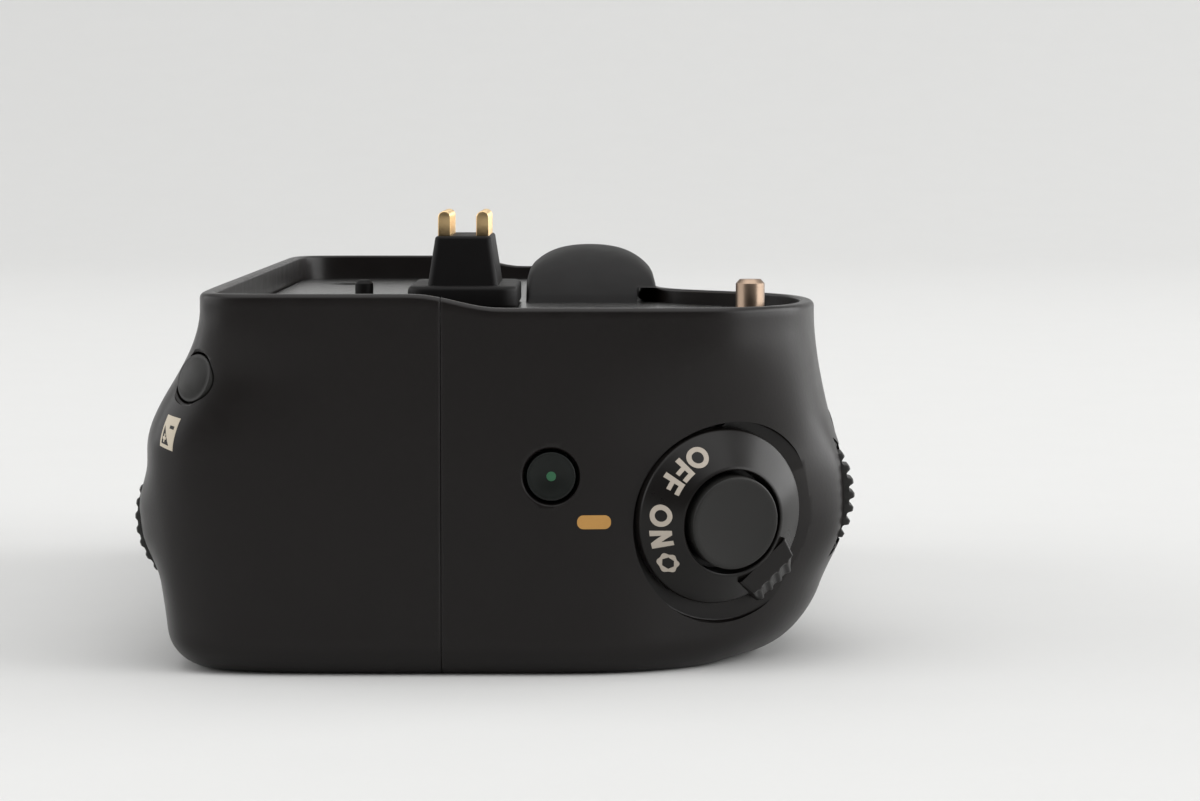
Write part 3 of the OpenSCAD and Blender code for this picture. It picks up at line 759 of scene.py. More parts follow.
    def normal(self, u: Value, z: Value) -> np.ndarray:
        """Outward unit normals by central differences."""
        e = 0.01
        u, z = np.broadcast_arrays(np.asarray(u, float), np.asarray(z, float))
        n = np.cross(self.point(u + e, z) - self.point(u - e, z), self.point(u, z + e) - self.point(u, z - e))
        return n / np.linalg.norm(n, axis=-1, keepdims=True)

    def spot(self, u: float, z: float) -> Placement:
        """Local frame on the surface with z outwards."""
        return Placement.facing(self.point(u, z), self.normal(u, z))

    def position_at(self, value: np.ndarray, axis: int, u_low: float, u_high: float, z: float) -> np.ndarray:
        """Outline positions where a coordinate has the given values at one height.

        Args:
            value: Coordinates looked for.
            axis: 0 for x, 1 for y.
            u_low: Start of the stretch searched.
            u_high: End of the stretch searched.
            z: Height.

        Returns:
            Positions u.
        """
        u = np.linspace(u_low, u_high, 600)
        c = self.point(u, z)[:, axis]
        order = np.argsort(c)
        return np.interp(value, c[order], u[order])


FORM = BodyForm()
ROOT = "grip_body"


@dataclass(frozen=True)
class Layout:
    """Places of the controls, shared by the casing's openings and the pieces in them."""

    form: BodyForm = FORM
    release_u: float = 4.0
    green_y: float = -11.1
    green_z: float = 20.3
    exposure_u: float = 24.0
    exposure_z: float = 30.1
    focus_u: float = 22.1
    lock_u: float = 21.7
    thumb_z: float = 23.2
    dial_r: float = 8.5
    front_dial_at: tuple[float, float, float] = (-52.0, -34.1, 17.0)
    rear_dial_x: float = -58.0
    rear_dial_z: float = 15.4
    rear_dial_proud: float = 1.35
    wheel_z: float = 30.4

    def release(self) -> Placement:
        """Frame of the release axis."""
        return self.form.spot(self.release_u, self.form.release_h)

    def green(self) -> Placement:
        """Frame of the green button on the end face."""
        middle = np.array([-self.form.shutter_end, self.green_y, self.green_z])
        return Placement.facing(middle, np.array([-1.0, 0, 0]))

    def exposure(self) -> Placement:
        """Frame of the exposure button on the rear corner."""
        return self.form.spot(self.exposure_u, self.exposure_z)

    def focus(self) -> Placement:
        """Frame of the focus button on the rear face."""
        return self.form.spot(self.focus_u, self.thumb_z)

    def lock(self) -> Placement:
        """Frame of the lock button on the rear face."""
        return self.form.spot(self.lock_u, self.thumb_z)

    def front_dial(self) -> Placement:
        """Frame of the front dial, its axle along x."""
        return along_x(*self.front_dial_at)

    def rear_dial(self) -> Placement:
        """Frame of the rear dial, which stands a little proud of the rear face."""
        y = float(self.form.rear(self.rear_dial_z)) + self.rear_dial_proud - self.dial_r
        return along_x(self.rear_dial_x, y, self.rear_dial_z)


LAYOUT = Layout()


# The casing


@dataclass(frozen=True)
class Swelling:
    """A low swelling of the casing round a dial.

    Attributes:
        height: How far it stands out.
        rise: Start and end of its rise along x.
        fall: Start and end of its fall along x.
        level: Height of its middle.
        fade: Distances from that height where it starts to fade and where it ends.
    """

    height: float
    rise: tuple[float, float]
    fall: tuple[float, float]
    level: float
    fade: tuple[float, float]

    def at(self, x: np.ndarray, z: np.ndarray) -> np.ndarray:
        """How far the wall stands out at points of the casing.

        It eases up along x over the rise and down over the fall, and fades out with the
        distance from its middle height.

        Args:
            x: Positions along the grip.
            z: Heights.

        Returns:
            Offsets in millimetres.
        """
        along = ease(*self.rise, x) * (1 - ease(*self.fall, x))
        return self.height * (along * (1 - ease(*self.fade, np.abs(z - self.level))))


@dataclass
class Casing:
    """The two moulded shells, split on the vertical parting line."""

    form: BodyForm = FORM
    wall: float = 1.8
    floor_t: float = 2.4
    lip: float = 1.45
    rim_edge: float = 0.55
    lip_edge: float = 0.3
    straight_h: float = 30.0
    parting_deep: float = 0.11
    parting_width: float = 0.17
    parting_gap: float = 0.03
    well_r: float = 10.5
    well_off: float = 1.32
    well_deep: float = 1.4
    well_turn: float = 57.0
    hub_r: float = 6.5
    front_swelling: Swelling = Swelling(0.78, (-61.5, -55.5), (-53.5, -45.0), 17.0, (2.8, 9.6))
    rear_swelling: Swelling = Swelling(1.05, (-67.0, -61.0), (-53.0, -42.0), 15.0, (1.0, 6.2))

    def columns(self) -> np.ndarray:
        """Outline positions, dense at the corners and beside the parting line."""
        spans, coarse, fine, level, apart = 25, 10, 20, 20.0, 0.05
        per_span = np.full(spans, coarse)
        per_span[[2, 3, 4, 5, 6, 7, 22, 23, 24]] = fine
        u = np.concatenate([k + np.arange(n) / n for k, n in enumerate(per_span)])
        one_side = np.array([0.1, 0.16, 0.24, 0.36, 0.6])
        beside = np.concatenate([-one_side[::-1], one_side])
        near = self.form.position_at(beside, axis=1, u_low=1.0, u_high=2.0, z=level)
        far = self.form.position_at(beside, axis=1, u_low=15.5, u_high=16.5, z=level)
        clear = (np.abs(u - near.mean()) > apart) & (np.abs(u - far.mean()) > apart)
        return np.sort(np.concatenate([u[clear], near, far]))

    def outer_solid(self) -> Shell:
        """The whole hollow pot: bottom, outer wall, rounded rim and inner wall.

        Rows run from the middle of the underside outwards, up the outer wall, over
        the rim lip and down the inside to the floor. Beside the parting line the
        outer wall dips in by a narrow bell curve of y, and it swells round both dials.

        Returns:
            The closed pot.
        """
        form, u = self.form, self.columns()
        rim = form.rim(form.point(u, 36.5)[:, 1])
        edge, inner = self.rim_edge, self.lip_edge
        foot_z = 4 * (1 - np.cos(np.linspace(0, np.pi / 2, 12)))
        wall_z = np.linspace(4.6, self.straight_h, 42)
        arc = np.linspace(0, np.pi / 2, 6)
        lining = [(36.4, self.lip), (35.6, 1.6)]
        lining += [(z, self.wall) for z in (33.5, 26.0, 18.0, 10.0, 5.0, self.floor_t)]
        rows = [(np.full_like(u, z), 0.0) for z in np.concatenate([foot_z, wall_z])]
        rows += [(lerp(self.straight_h, rim - edge, t), 0.0) for t in np.linspace(0, 1, 12)[1:]]
        rows += [(rim - edge * (1 - math.sin(a)), edge * (1 - math.cos(a))) for a in arc[1:]]
        rows += [(rim - inner * (1 - math.cos(a)), self.lip - inner * (1 - math.sin(a))) for a in arc]
        rows += [(np.full_like(u, z), i) for z, i in lining]
        z = np.array([height for height, _ in rows])
        inset = np.broadcast_to(np.array([[i] for _, i in rows]), z.shape)
        pts = form.point(u[None, :], z, inset)
        x, y, outside = pts[..., 0], pts[..., 1], inset < 0.5
        swell = np.where(y > 0, self.rear_swelling.at(x, z), -self.front_swelling.at(x, z))
        pts[..., 1] += outside * swell
        dent = self.parting_deep * np.exp(-(pts[..., 1] / self.parting_width) ** 2) * outside
        pts[..., 0] += dent * np.where(pts[..., 0] < 0, 1.0, -1.0)
        shrink = np.array([0.0, 0.25, 0.5, 0.75, 0.95])[:, None, None]
        under = pts[:1] * [1, 1, 0] * shrink
        floor = pts[-1:] * [1, 1, 0] * shrink[::-1] + [0, 0, self.floor_t]
        return grid_shell(np.concatenate([under, pts, floor]))

    def well(self) -> Shell:
        """Round well of the release: a bore for the hub, and a wide part set off to one side.

        Returns:
            The well about the release axis.
        """
        shell = revolve(rounded_path([
            (0, -12, 0), (self.hub_r, -12, 0), (self.hub_r, -self.well_deep, 0.1),
            (self.well_r, -self.well_deep, 0.25), (self.well_r, 14, 0), (0, 14, 0)]), 160)
        turn = math.radians(self.well_turn)
        wide = np.linalg.norm(shell.verts[:, :2], axis=1) > self.hub_r + 0.5
        shell.verts[wide, :2] += self.well_off * np.array([math.cos(turn), math.sin(turn)])
        return shell

    @staticmethod
    def flared(radius: float, flare: float, deep: float) -> Shell:
        """Round hole that opens out by a quarter circle at its mouth."""
        turn = np.linspace(0, np.pi / 2, 8)
        mouth = np.stack([radius + flare * (1 - np.cos(turn)), flare * (np.sin(turn) - 1) + 0.02], -1)
        profile = np.concatenate([[[0, -deep], [radius, -deep]], mouth, [[radius + flare, 3], [0, 3]]])
        return revolve(profile, 96)

    @staticmethod
    def wheel_slot(radius: float, half: float, edge: float, steps: int) -> Shell:
        """Disc shaped slot of a dial or wheel."""
        path = rounded_path([(0, -half, 0), (radius, -half, edge), (radius, half, edge), (0, half, 0)])
        return revolve(path, steps)

    def cutters(self) -> Shell:
        """All openings of the shells, clear of each other."""
        green_hole = self.flared(radius=2.78, flare=0.42, deep=5.0)
        exposure_hole = self.flared(radius=2.66, flare=0.3, deep=5.0)
        thumb_hole = self.flared(radius=2.9, flare=0.35, deep=6.0)
        dial_slot = self.wheel_slot(radius=8.68, half=2.66, edge=0.2, steps=128)
        fixing_slot = self.wheel_slot(radius=27.2, half=2.6, edge=0.5, steps=256)
        door_mouth = soft_block(11.3, 25.7, corner=0.8, low=-6.0, high=8.0, edge=0.01)
        plate_bed = soft_block(25.05, 15.05, corner=4.0, low=-3.0, high=1.24, edge=0.01)
        return join([
            LAYOUT.release().place(self.well()),
            LAYOUT.green().place(green_hole),
            LAYOUT.exposure().place(exposure_hole),
            LAYOUT.focus().place(thumb_hole),
            LAYOUT.lock().place(thumb_hole),
            LAYOUT.front_dial().place(dial_slot),
            LAYOUT.rear_dial().place(dial_slot),
            moved(fixing_slot, 0, 0, LAYOUT.wheel_z),
            along_x(self.form.door_end, 0, 16.0).place(door_mouth),
            plate_bed,
        ])

    def build(self) -> None:
        """Makes the pot with its openings and splits it into the front and rear shells."""
        whole = make_object("casing_whole", self.outer_solid())
        combine(whole, self.cutters(), Change.CUT)
        reach = 50.0
        half_space = soft_block(2 * reach, reach, corner=0.01, low=-20, high=80, edge=0.01)
        for name, side, node in (("casing_front", -1, "front_casing"), ("casing_rear", 1, "rear_casing")):
            half = bpy.data.objects.new(name, whole.data.copy())
            bpy.context.scene.collection.objects.link(half)
            combine(half, moved(half_space, 0, side * (reach + self.parting_gap), 0), Change.KEEP)
            finish_piece(half, Look.CASING, ROOT, [node], 32.0)
        bpy.data.objects.remove(whole)


# Shapes that several pieces share


def prism(profile: np.ndarray, low: float, high: float, edge: float, rows: int = 4) -> Shell:
    """Carries a closed profile along z and rounds its two end edges.

    Towards each end the profile steps in along its own normals by
    edge * (1 - sin a) while the height closes in by edge * (1 - cos a).

    Args:
        profile: Closed profile, anticlockwise, n by 2.
        low: Lower end.
        high: Upper end.
        edge: Radius of the end edges.
        rows: Rows of each rounded edge.

    Returns:
        The closed prism.
    """
    along = np.roll(profile, -1, 0) - np.roll(profile, 1, 0)
    out = np.stack([along[:, 1], -along[:, 0]], -1)
    out = out / np.maximum(np.linalg.norm(out, axis=1, keepdims=True), 1e-9)
    turn = np.linspace(0, np.pi / 2, rows)
    inset = edge * (1 - np.sin(turn))
    drop = edge * (1 - np.cos(turn))
    insets = np.concatenate([inset, inset[::-1]])
    heights = np.concatenate([low + drop, high - drop[::-1]])
    flat = profile[None] - out[None] * insets[:, None, None]
    z = np.broadcast_to(heights[:, None, None], flat.shape[:2] + (1,))
    shell = grid_shell(np.concatenate([flat, z], -1))
    count = len(profile)
    last = (len(heights) - 1) * count
    shell.faces += [list(range(count)), list(range(last, last + count))]
    return shell


def flat_sign(polygons: Sequence[np.ndarray], step: float, thick: float) -> Shell:
    """Cuts flat polygons along a square grid and gives them thickness.

    The cuts let a sign bend with the surface that it is laid on.

    Args:
        polygons: Outlines in the plane, anticlockwise.
        step: Spacing of the cuts.
        thick: Thickness below the plane.

    Returns:
        The closed sign, its face at z = 0.
    """
    work = bmesh.new()
    for outline in polygons:
        work.faces.new([work.verts.new((float(x), float(y), 0.0)) for x, y in outline])
    bmesh.ops.remove_doubles(work, verts=work.verts, dist=1e-6)
    corners = np.concatenate(polygons)
    for axis in (0, 1):
        for at in np.arange(corners[:, axis].min() + step, corners[:, axis].max(), step):
            spot, way = [0.0, 0.0, 0.0], [0.0, 0.0, 0.0]
            spot[axis], way[axis] = float(at), 1.0
            bmesh.ops.bisect_plane(work, geom=work.verts[:] + work.edges[:] + work.faces[:],
                                   plane_co=spot, plane_no=way)
    grown = bmesh.ops.extrude_face_region(work, geom=work.faces[:], use_keep_orig=True)
    lowered = [item for item in grown["geom"] if isinstance(item, bmesh.types.BMVert)]
    bmesh.ops.translate(work, verts=lowered, vec=(0, 0, -thick))
    mesh = bpy.data.meshes.new("sign")
    work.to_mesh(mesh)
    work.free()
    flat = np.empty(len(mesh.vertices) * 3)
    mesh.vertices.foreach_get("co", flat)
    faces = [list(face.vertices) for face in mesh.polygons]
    bpy.data.meshes.remove(mesh)
    return Shell(flat.reshape(-1, 3), faces)


def ring_sign(outer: np.ndarray, inner: np.ndarray, thick: float) -> Shell:
    """A closed band between two outlines of the same number of points.

    Args:
        outer: Outer outline, n by 2.
        inner: Inner outline, n by 2.
        thick: Thickness below the plane.

    Returns:
        The band, its face at z = 0.
    """
    share = np.linspace(0, 1, 4)[:, None, None]
    face = lerp(outer[None], inner[None], share)
    rows = np.concatenate([face, face[::-1]])
    z = np.concatenate([np.zeros(4), np.full(4, -thick)])
    z = np.broadcast_to(z[:, None, None], rows.shape[:2] + (1,))
    return grid_shell(np.concatenate([rows, z], -1), wrap_rows=True)


def ellipse(half_x: float, half_y: float, steps: int = 48) -> np.ndarray:
    """Points of an ellipse about the origin."""
    angle = np.linspace(0, 2 * np.pi, steps, endpoint=False)
    return np.stack([half_x * np.cos(angle), half_y * np.sin(angle)], -1)


def cross_outline(half: float, reach: float) -> np.ndarray:
    """Corners of a plus sign with arms of this half width and reach, anticlockwise."""
    arm = np.array([(-half, -reach), (half, -reach), (half, -half)])
    turns = [np.array([[1, 0], [0, 1]]), np.array([[0, 1], [-1, 0]]), np.array([[-1, 0], [0, -1]]),
             np.array([[0, -1], [1, 0]])]
    return np.concatenate([arm @ turn for turn in turns])


def screw_head(radius: float, long: float) -> Shell:
    """Low domed screw head at z = 0 on a shank that goes down."""
    profile = rounded_path([
        (0, 0.0, 0), (radius * 0.6, -0.03, 0.5), (radius, -0.22, 0.12), (radius, -0.7, 0.05),
        (radius * 0.5, -0.7, 0), (radius * 0.5, -long, 0.1), (0, -long, 0)])
    return revolve(profile, 64)


def crossed(name: str, heads: Sequence[Shell], spots: Sequence[tuple[float, float, float]],
            node: str) -> bpy.types.Object:
    """Joins screw heads into one piece and sinks a cross slot into each.

    Args:
        name: Name of the piece.
        heads: Placed screws.
        spots: Middle of each head face.
        node: Solid of the frame that they replace.

    Returns:
        The piece.
    """
    obj = make_object(name, join(heads))
    step_turn = 18.0
    slot = prism(cross_outline(half=0.2, reach=1.05), low=-0.45, high=0.45, edge=0.02)
    combine(obj, join([moved(slot, *spot, step_turn * i) for i, spot in enumerate(spots)]), Change.CUT)
    return finish_piece(obj, Look.STEEL_DARK, ROOT, [node], 32.0)


@dataclass(frozen=True)
class ToothedWheel:
    """A finger wheel with rounded teeth round its rim and a bore for its axle."""

    radius: float = LAYOUT.dial_r
    half: float = 2.5
    teeth: int = 36
    depth: float = 0.52
    bore: float = 1.28
    chamfer: float = 0.42

    def shell(self) -> Shell:
        """Makes the wheel about the z axis.

        The radius at an angle is the rim radius less depth times the valley wave; a
        valley takes the middle half of each tooth pitch, eased on both sides, and it
        fades out over the chamfer. Each row of the side has a radius, a height and the
        share of the valley there.

        Returns:
            The wheel.
        """
        angle = np.linspace(0, 2 * np.pi, self.teeth * 14, endpoint=False)
        phase = (angle * self.teeth / (2 * np.pi)) % 1.0
        valley = 1 - ease(0.10, 0.38, np.abs(phase - 0.5))
        r, h, c = self.radius, self.half, self.chamfer
        side = [
            (self.bore, h, 0), (r * 0.45, h, 0), (r * 0.5, h - 0.25, 0), (r - 2.2, h - 0.25, 0),
            (r - 1.9, h, 0), (r - 1.2, h, 0), (r - c, h, 0.3), (r - 0.3 * c, h - 0.3 * c, 0.8),
            (r, h - c, 1.0),
        ]
        rows = np.array([(a, -b, w) for a, b, w in side] + side[::-1])
        radius = rows[:, :1] - self.depth * rows[:, 2:] * valley
        z = np.broadcast_to(rows[:, 1:2], radius.shape)
        return grid_shell(np.stack([radius * np.cos(angle), radius * np.sin(angle), z], -1), wrap_rows=True)


# The controls


@dataclass
class Release:
    """Shutter button, power ring with its lever and marks, and the index beside it."""

    form: BodyForm = FORM
    body_button: str = "shutter_button"
    body_ring: str = "power_ring"
    ring_r: float = 9.05
    rise: float = 3.1
    bore_r: float = 5.3
    hub_r: float = 6.35
    groove_r: float = 5.8
    stem_bore: float = 2.5
    button_r: float = 4.75
    stem_r: float = 2.2
    seat: float = 1.6
    lever_turn: float = 42.0
    lever_r: float = 10.0
    lever_in: float = 5.65
    lever_top: float = 2.7
    lever_slope: float = 2.2
    ridge_pitch: float = 1.3
    ridge_deep: float = 0.5
    mark_low: float = 1.0
    mark_mid: float = 2.15
    mark_high: float = 2.35
    mark_thick: float = 0.09
    mark_lift: float = 0.035
    stroke: float = 0.52
    blades_turn: float = 304.5
    index_y: float = -15.4
    index_z: float = 15.68

    def lever(self) -> Shell:
        """Tapered tab with a flat top and a sloped, ridged end.

        The top is a height field over the tab: flat up to the slope, then falling at
        45 degrees; the slope carries a cosine of the cross position, and all outer
        edges are rounded by their distance to the tab's border.

        Returns:
            The tab, turned to its place on the ring.
        """
        wide, narrow, edge, under = 3.3, 2.4, 0.3, -1.1
        blend, sharpness, bend = 0.25, 1.8, 0.02
        x = np.concatenate([np.linspace(self.lever_in, 7.5, 14), np.linspace(7.6, self.lever_r, 40)])
        x, a = np.meshgrid(x, np.linspace(-1, 1, 81), indexing="ij")
        half = lerp(wide, narrow, (x - self.lever_in) / (self.lever_r - self.lever_in))
        y = a * half
        slope_from = self.lever_r - self.lever_slope
        fall = 0.5 * ((x - slope_from) + np.sqrt((x - slope_from) ** 2 + bend))
        ridge = (0.5 - 0.5 * np.cos(2 * np.pi * y / self.ridge_pitch)) ** sharpness
        on_slope = ease(slope_from - blend, slope_from + blend, x)
        rounding = roll_off(np.minimum((1 - np.abs(a)) * half, self.lever_r - x), edge)
        z = self.lever_top - fall - self.ridge_deep * (1 - ridge) * on_slope - rounding
        top = np.stack([x, y, z], -1)
        bottom = np.stack([x, y, np.full_like(z, under)], -1)
        return moved(slab(top, bottom), 0, 0, 0, self.lever_turn)

    def ring(self) -> None:
        """Makes the ring: a turned cone on a grooved hub, joined with its lever."""
        hub, groove = self.hub_r, self.groove_r
        profile = rounded_path([
            (self.stem_bore, -4.4, 0.1), (hub, -4.4, 0.1), (hub, -3.7, 0), (groove, -3.7, 0),
            (groove, -2.8, 0), (hub, -2.8, 0), (hub, -1.2, 0.1), (self.ring_r, -1.2, 0.2),
            (self.ring_r, 0.0, 0.5), (self.bore_r, self.rise, 0.28), (self.bore_r, 0.1, 0.1),
            (self.stem_bore, 0.1, 0.1)], closed=True)
        axis = LAYOUT.release()
        obj = make_object("power_ring_body", axis.place(revolve(profile, 240, loop=True)))
        combine(obj, axis.place(self.lever()), Change.ADD)
        finish_piece(obj, Look.RING, self.body_ring, ["power_ring"], 34.0)

    def on_cone(self, sign: Shell, turn: float) -> Shell:
        """Bends a flat sign onto the cone, its top towards the button.

        Across the sign the angle grows by x over the radius at mid height; up the sign
        the point climbs the cone; thickness goes along the cone's normal.

        Args:
            sign: Flat sign with its face at z = 0.
            turn: Angle of its middle in degrees.

        Returns:
            The sign on the cone.
        """
        run = self.ring_r - self.bore_r
        slant = math.hypot(run, self.rise)
        away, up = run / slant, self.rise / slant
        x, y, h = sign.verts[:, 0], sign.verts[:, 1], sign.verts[:, 2] + self.mark_lift
        angle = math.radians(turn) + x / (self.ring_r - away * self.mark_mid)
        radius = self.ring_r - away * y + up * h
        verts = np.stack([radius * np.cos(angle), radius * np.sin(angle), up * y + away * h], -1)
        return LAYOUT.release().place(Shell(verts, sign.faces))

    def letter(self, name: str) -> Shell:
        """One letter, centred on x, standing on the line of the marks.

        Args:
            name: O, F or N.

        Returns:
            The flat letter.
        """
        tall, s = self.mark_high, self.stroke
        if name == "O":
            half = 1.12
            band = ring_sign(ellipse(half, tall / 2), ellipse(half - s, tall / 2 - s), self.mark_thick)
            return moved(band, 0, self.mark_low + tall / 2, 0)
        if name == "N":
            wide, cut = 1.72, 1.1
            outline = [(0, 0), (s, 0), (s, tall - cut), (wide - s, 0), (wide, 0), (wide, tall),
                       (wide - s, tall), (wide - s, cut), (s, tall), (0, tall)]
        else:
            wide, arm = 1.5, 1.35
            mid_low, mid_high, top_low = 0.86, 0.86 + s * 0.92, tall - s * 0.95
            outline = [(0, 0), (s, 0), (s, mid_low), (arm, mid_low), (arm, mid_high), (s, mid_high),
                       (s, top_low), (wide, top_low), (wide, tall), (0, tall)]
        return moved(flat_sign([np.array(outline)], 0.3, self.mark_thick), -wide / 2, self.mark_low, 0)

    def blades(self) -> Shell:
        """The lens opening sign: a six-lobed band with a six-sided hole."""
        angle = np.linspace(0, 2 * np.pi, 72, endpoint=False)
        lobe_r, wave, hole_r, mid = 1.08, 0.09, 0.60, 1.95
        lobes = lobe_r + wave * np.cos(6 * angle)
        hole = hole_r / np.cos((angle + np.pi / 6) % (np.pi / 3) - np.pi / 6)
        way = np.stack([np.cos(angle), np.sin(angle)], -1)
        return moved(ring_sign(way * lobes[:, None], way * hole[:, None], self.mark_thick), 0, mid, 0)

    def marks(self) -> None:
        """Lays the switch words and the lens opening sign on the cone."""
        words = [("O", 209.0), ("F", 225.5), ("F", 239.0), ("O", 265.0), ("N", 283.5)]
        signs = [self.on_cone(self.letter(name), turn) for name, turn in words]
        signs.append(self.on_cone(self.blades(), self.blades_turn))
        piece("ring_marks", signs, Look.WHITE, self.body_ring, crease=30.0)

    def button(self) -> None:
        """Makes the shutter button: a shallow dish on a stem."""
        proud, inset, sag, stem_end = 0.5, 0.5, 0.2, -6.6
        top, rim = self.rise + proud, self.button_r - inset
        r = np.linspace(0, self.button_r - 0.55, 12)
        dish = np.stack([r, top - sag * (1 - (r / rim) ** 2)], -1)
        edge = rounded_path([
            (rim, top, 0), (self.button_r, top, 0.45), (self.button_r, self.seat, 0.1),
            (self.stem_r, self.seat, 0.1), (self.stem_r, stem_end, 0.1), (0, stem_end, 0)], steps=8)
        shell = LAYOUT.release().place(revolve(np.concatenate([dish, edge]), 160))
        piece("shutter_cap", [shell], Look.CONTROL, self.body_button, ["shutter_button"], 40.0)

    def index(self) -> None:
        """Lays the orange index capsule on the end face."""
        capsule = rectangle_ring(half_x=1.7, half_y=0.7, radius=0.64, steps=10)[0]
        sign = flat_sign([capsule], step=0.4, thick=self.mark_thick)
        y, z = self.index_y - sign.verts[:, 0], self.index_z + sign.verts[:, 1]
        u = self.form.position_at(y, axis=1, u_low=1.8, u_high=3.6, z=15.7)
        verts = self.form.point(u, z) + self.form.normal(u, z) * (sign.verts[:, 2:] + self.mark_lift)
        piece("index_mark", [Shell(verts, sign.faces)], Look.ORANGE, ROOT, crease=30.0)

    def build(self) -> None:
        """Makes every piece of the release."""
        self.ring()
        self.marks()
        self.button()
        self.index()


@dataclass
class SmallButtons:
    """Green button, exposure button with its sign, and the two thumb buttons."""

    form: BodyForm = FORM
    green_r: float = 2.45
    exposure_r: float = 2.5
    thumb_r: float = 2.6
    sign_low_u: tuple[float, float] = (23.965, 24.167)
    sign_high_u: tuple[float, float] = (23.941, 24.167)
    sign_low_z: tuple[float, float] = (23.19, 22.69)
    sign_high_z: tuple[float, float] = (26.33, 25.99)

    @staticmethod
    def cap(radius: float, proud: float, crown: float, deep: float, edge: float) -> Shell:
        """Turned cap whose face swells by crown in a parabola, or dishes if negative.

        Args:
            radius: Cap radius.
            proud: Height of the cap's edge above the casing.
            crown: Height of the middle over the edge.
            deep: Depth of the cap below the casing.
            edge: Radius of the edge.

        Returns:
            The cap about the z axis.
        """
        rim = radius - edge
        r = np.linspace(0, rim, 12)
        face = np.stack([r, proud + crown * (1 - (r / rim) ** 2)], -1)
        rest = rounded_path([
            (rim, proud, 0), (radius, proud, edge * 0.9), (radius, -deep, 0.1), (0, -deep, 0)], steps=8)
        return revolve(np.concatenate([face[:-1], rest]), 112)

    @staticmethod
    def button(name: str, place: Placement, cap: Shell, finish: Finish = Look.CONTROL) -> None:
        """Puts a cap in its place as the whole of its button's body."""
        body = name + "_button"
        piece(name + "_cap", [place.place(cap)], finish, body, [body], 40.0)

    def caps(self) -> None:
        """Makes the four caps and the green dot."""
        green = self.cap(self.green_r, proud=0.12, crown=-0.42, deep=3.0, edge=0.3)
        dot = revolve(rounded_path([(0, -0.24, 0), (0.48, -0.24, 0.05), (0.5, -0.5, 0), (0, -0.5, 0)]), 48)
        exposure = self.cap(self.exposure_r, proud=-0.15, crown=0.62, deep=3.4, edge=0.3)
        focus = self.cap(self.thumb_r, proud=0.75, crown=-0.3, deep=2.5, edge=0.35)
        lock = self.cap(self.thumb_r, proud=0.75, crown=0.22, deep=2.5, edge=0.35)
        self.button("green", LAYOUT.green(), green, Look.GREEN_CAP)
        piece("green_dot", [LAYOUT.green().place(dot)], Look.GREEN, "green_button", crease=40.0)
        self.button("exposure", LAYOUT.exposure(), exposure)
        self.button("focus", LAYOUT.focus(), focus)
        self.button("lock", LAYOUT.lock(), lock)

    def on_corner(self, outlines: Sequence[np.ndarray], thick: float, lift: float) -> Shell:
        """Bends a sign drawn in the unit square onto the rear corner below its button.

        The four corners of the square are outline positions and heights; points between
        them are blended both ways.

        Args:
            outlines: Flat outlines in the unit square.
            thick: Thickness of the sign.
            lift: Height of its face over the casing.

        Returns:
            The sign on the casing.
        """
        sign = flat_sign(outlines, 0.12, thick)
        x, y = sign.verts[:, 0], sign.verts[:, 1]
        u = lerp(lerp(*self.sign_low_u, x), lerp(*self.sign_high_u, x), y)
        z = lerp(lerp(*self.sign_low_z, x), lerp(*self.sign_high_z, x), y)
        verts = self.form.point(u, z) + self.form.normal(u, z) * (sign.verts[:, 2:] + lift)
        return Shell(verts, sign.faces)

    def sign(self) -> None:
        """Makes the exposure sign: a split box with a plus in one half and a bar in the other."""
        border, corner = 0.11, 0.30
        low, left, right = (border, border), (border, 1 - corner), (1 - corner, border)
        upper = np.array([(1, 0), (1, 1), (0, 1), left, right])
        lower = np.array([(0, 1), (0, 0), (1, 0), right, low, left])
        plus = cross_outline(0.04, 0.13) + (border + 0.19)
        bar = np.array([(0.52, 0.63), (0.82, 0.63), (0.82, 0.73), (0.52, 0.73)])
        pale = [self.on_corner(shape, thick=0.06, lift=0.03) for shape in ([lower, upper], [plus])]
        piece("exposure_sign", pale, Look.CREAM, ROOT, crease=30.0)
        minus = self.on_corner([bar], thick=0.05, lift=0.045)
        piece("exposure_minus", [minus], Look.CONTROL, ROOT, crease=30.0)

    def build(self) -> None:
        """Makes the four caps and the signs."""
        self.caps()
        self.sign()


@dataclass
class Dials:
    """Front and rear thumb dials."""

    front: ToothedWheel = ToothedWheel()
    rear: ToothedWheel = ToothedWheel(depth=0.22)

    def build(self) -> None:
        """Makes both dials on their axles."""
        for name, wheel, place in (("front_dial", self.front, LAYOUT.front_dial()),
                                   ("rear_dial", self.rear, LAYOUT.rear_dial())):
            piece(name + "_wheel", [place.place(wheel.shell())], Look.CONTROL, name, [name], 35.0)


# The camera side


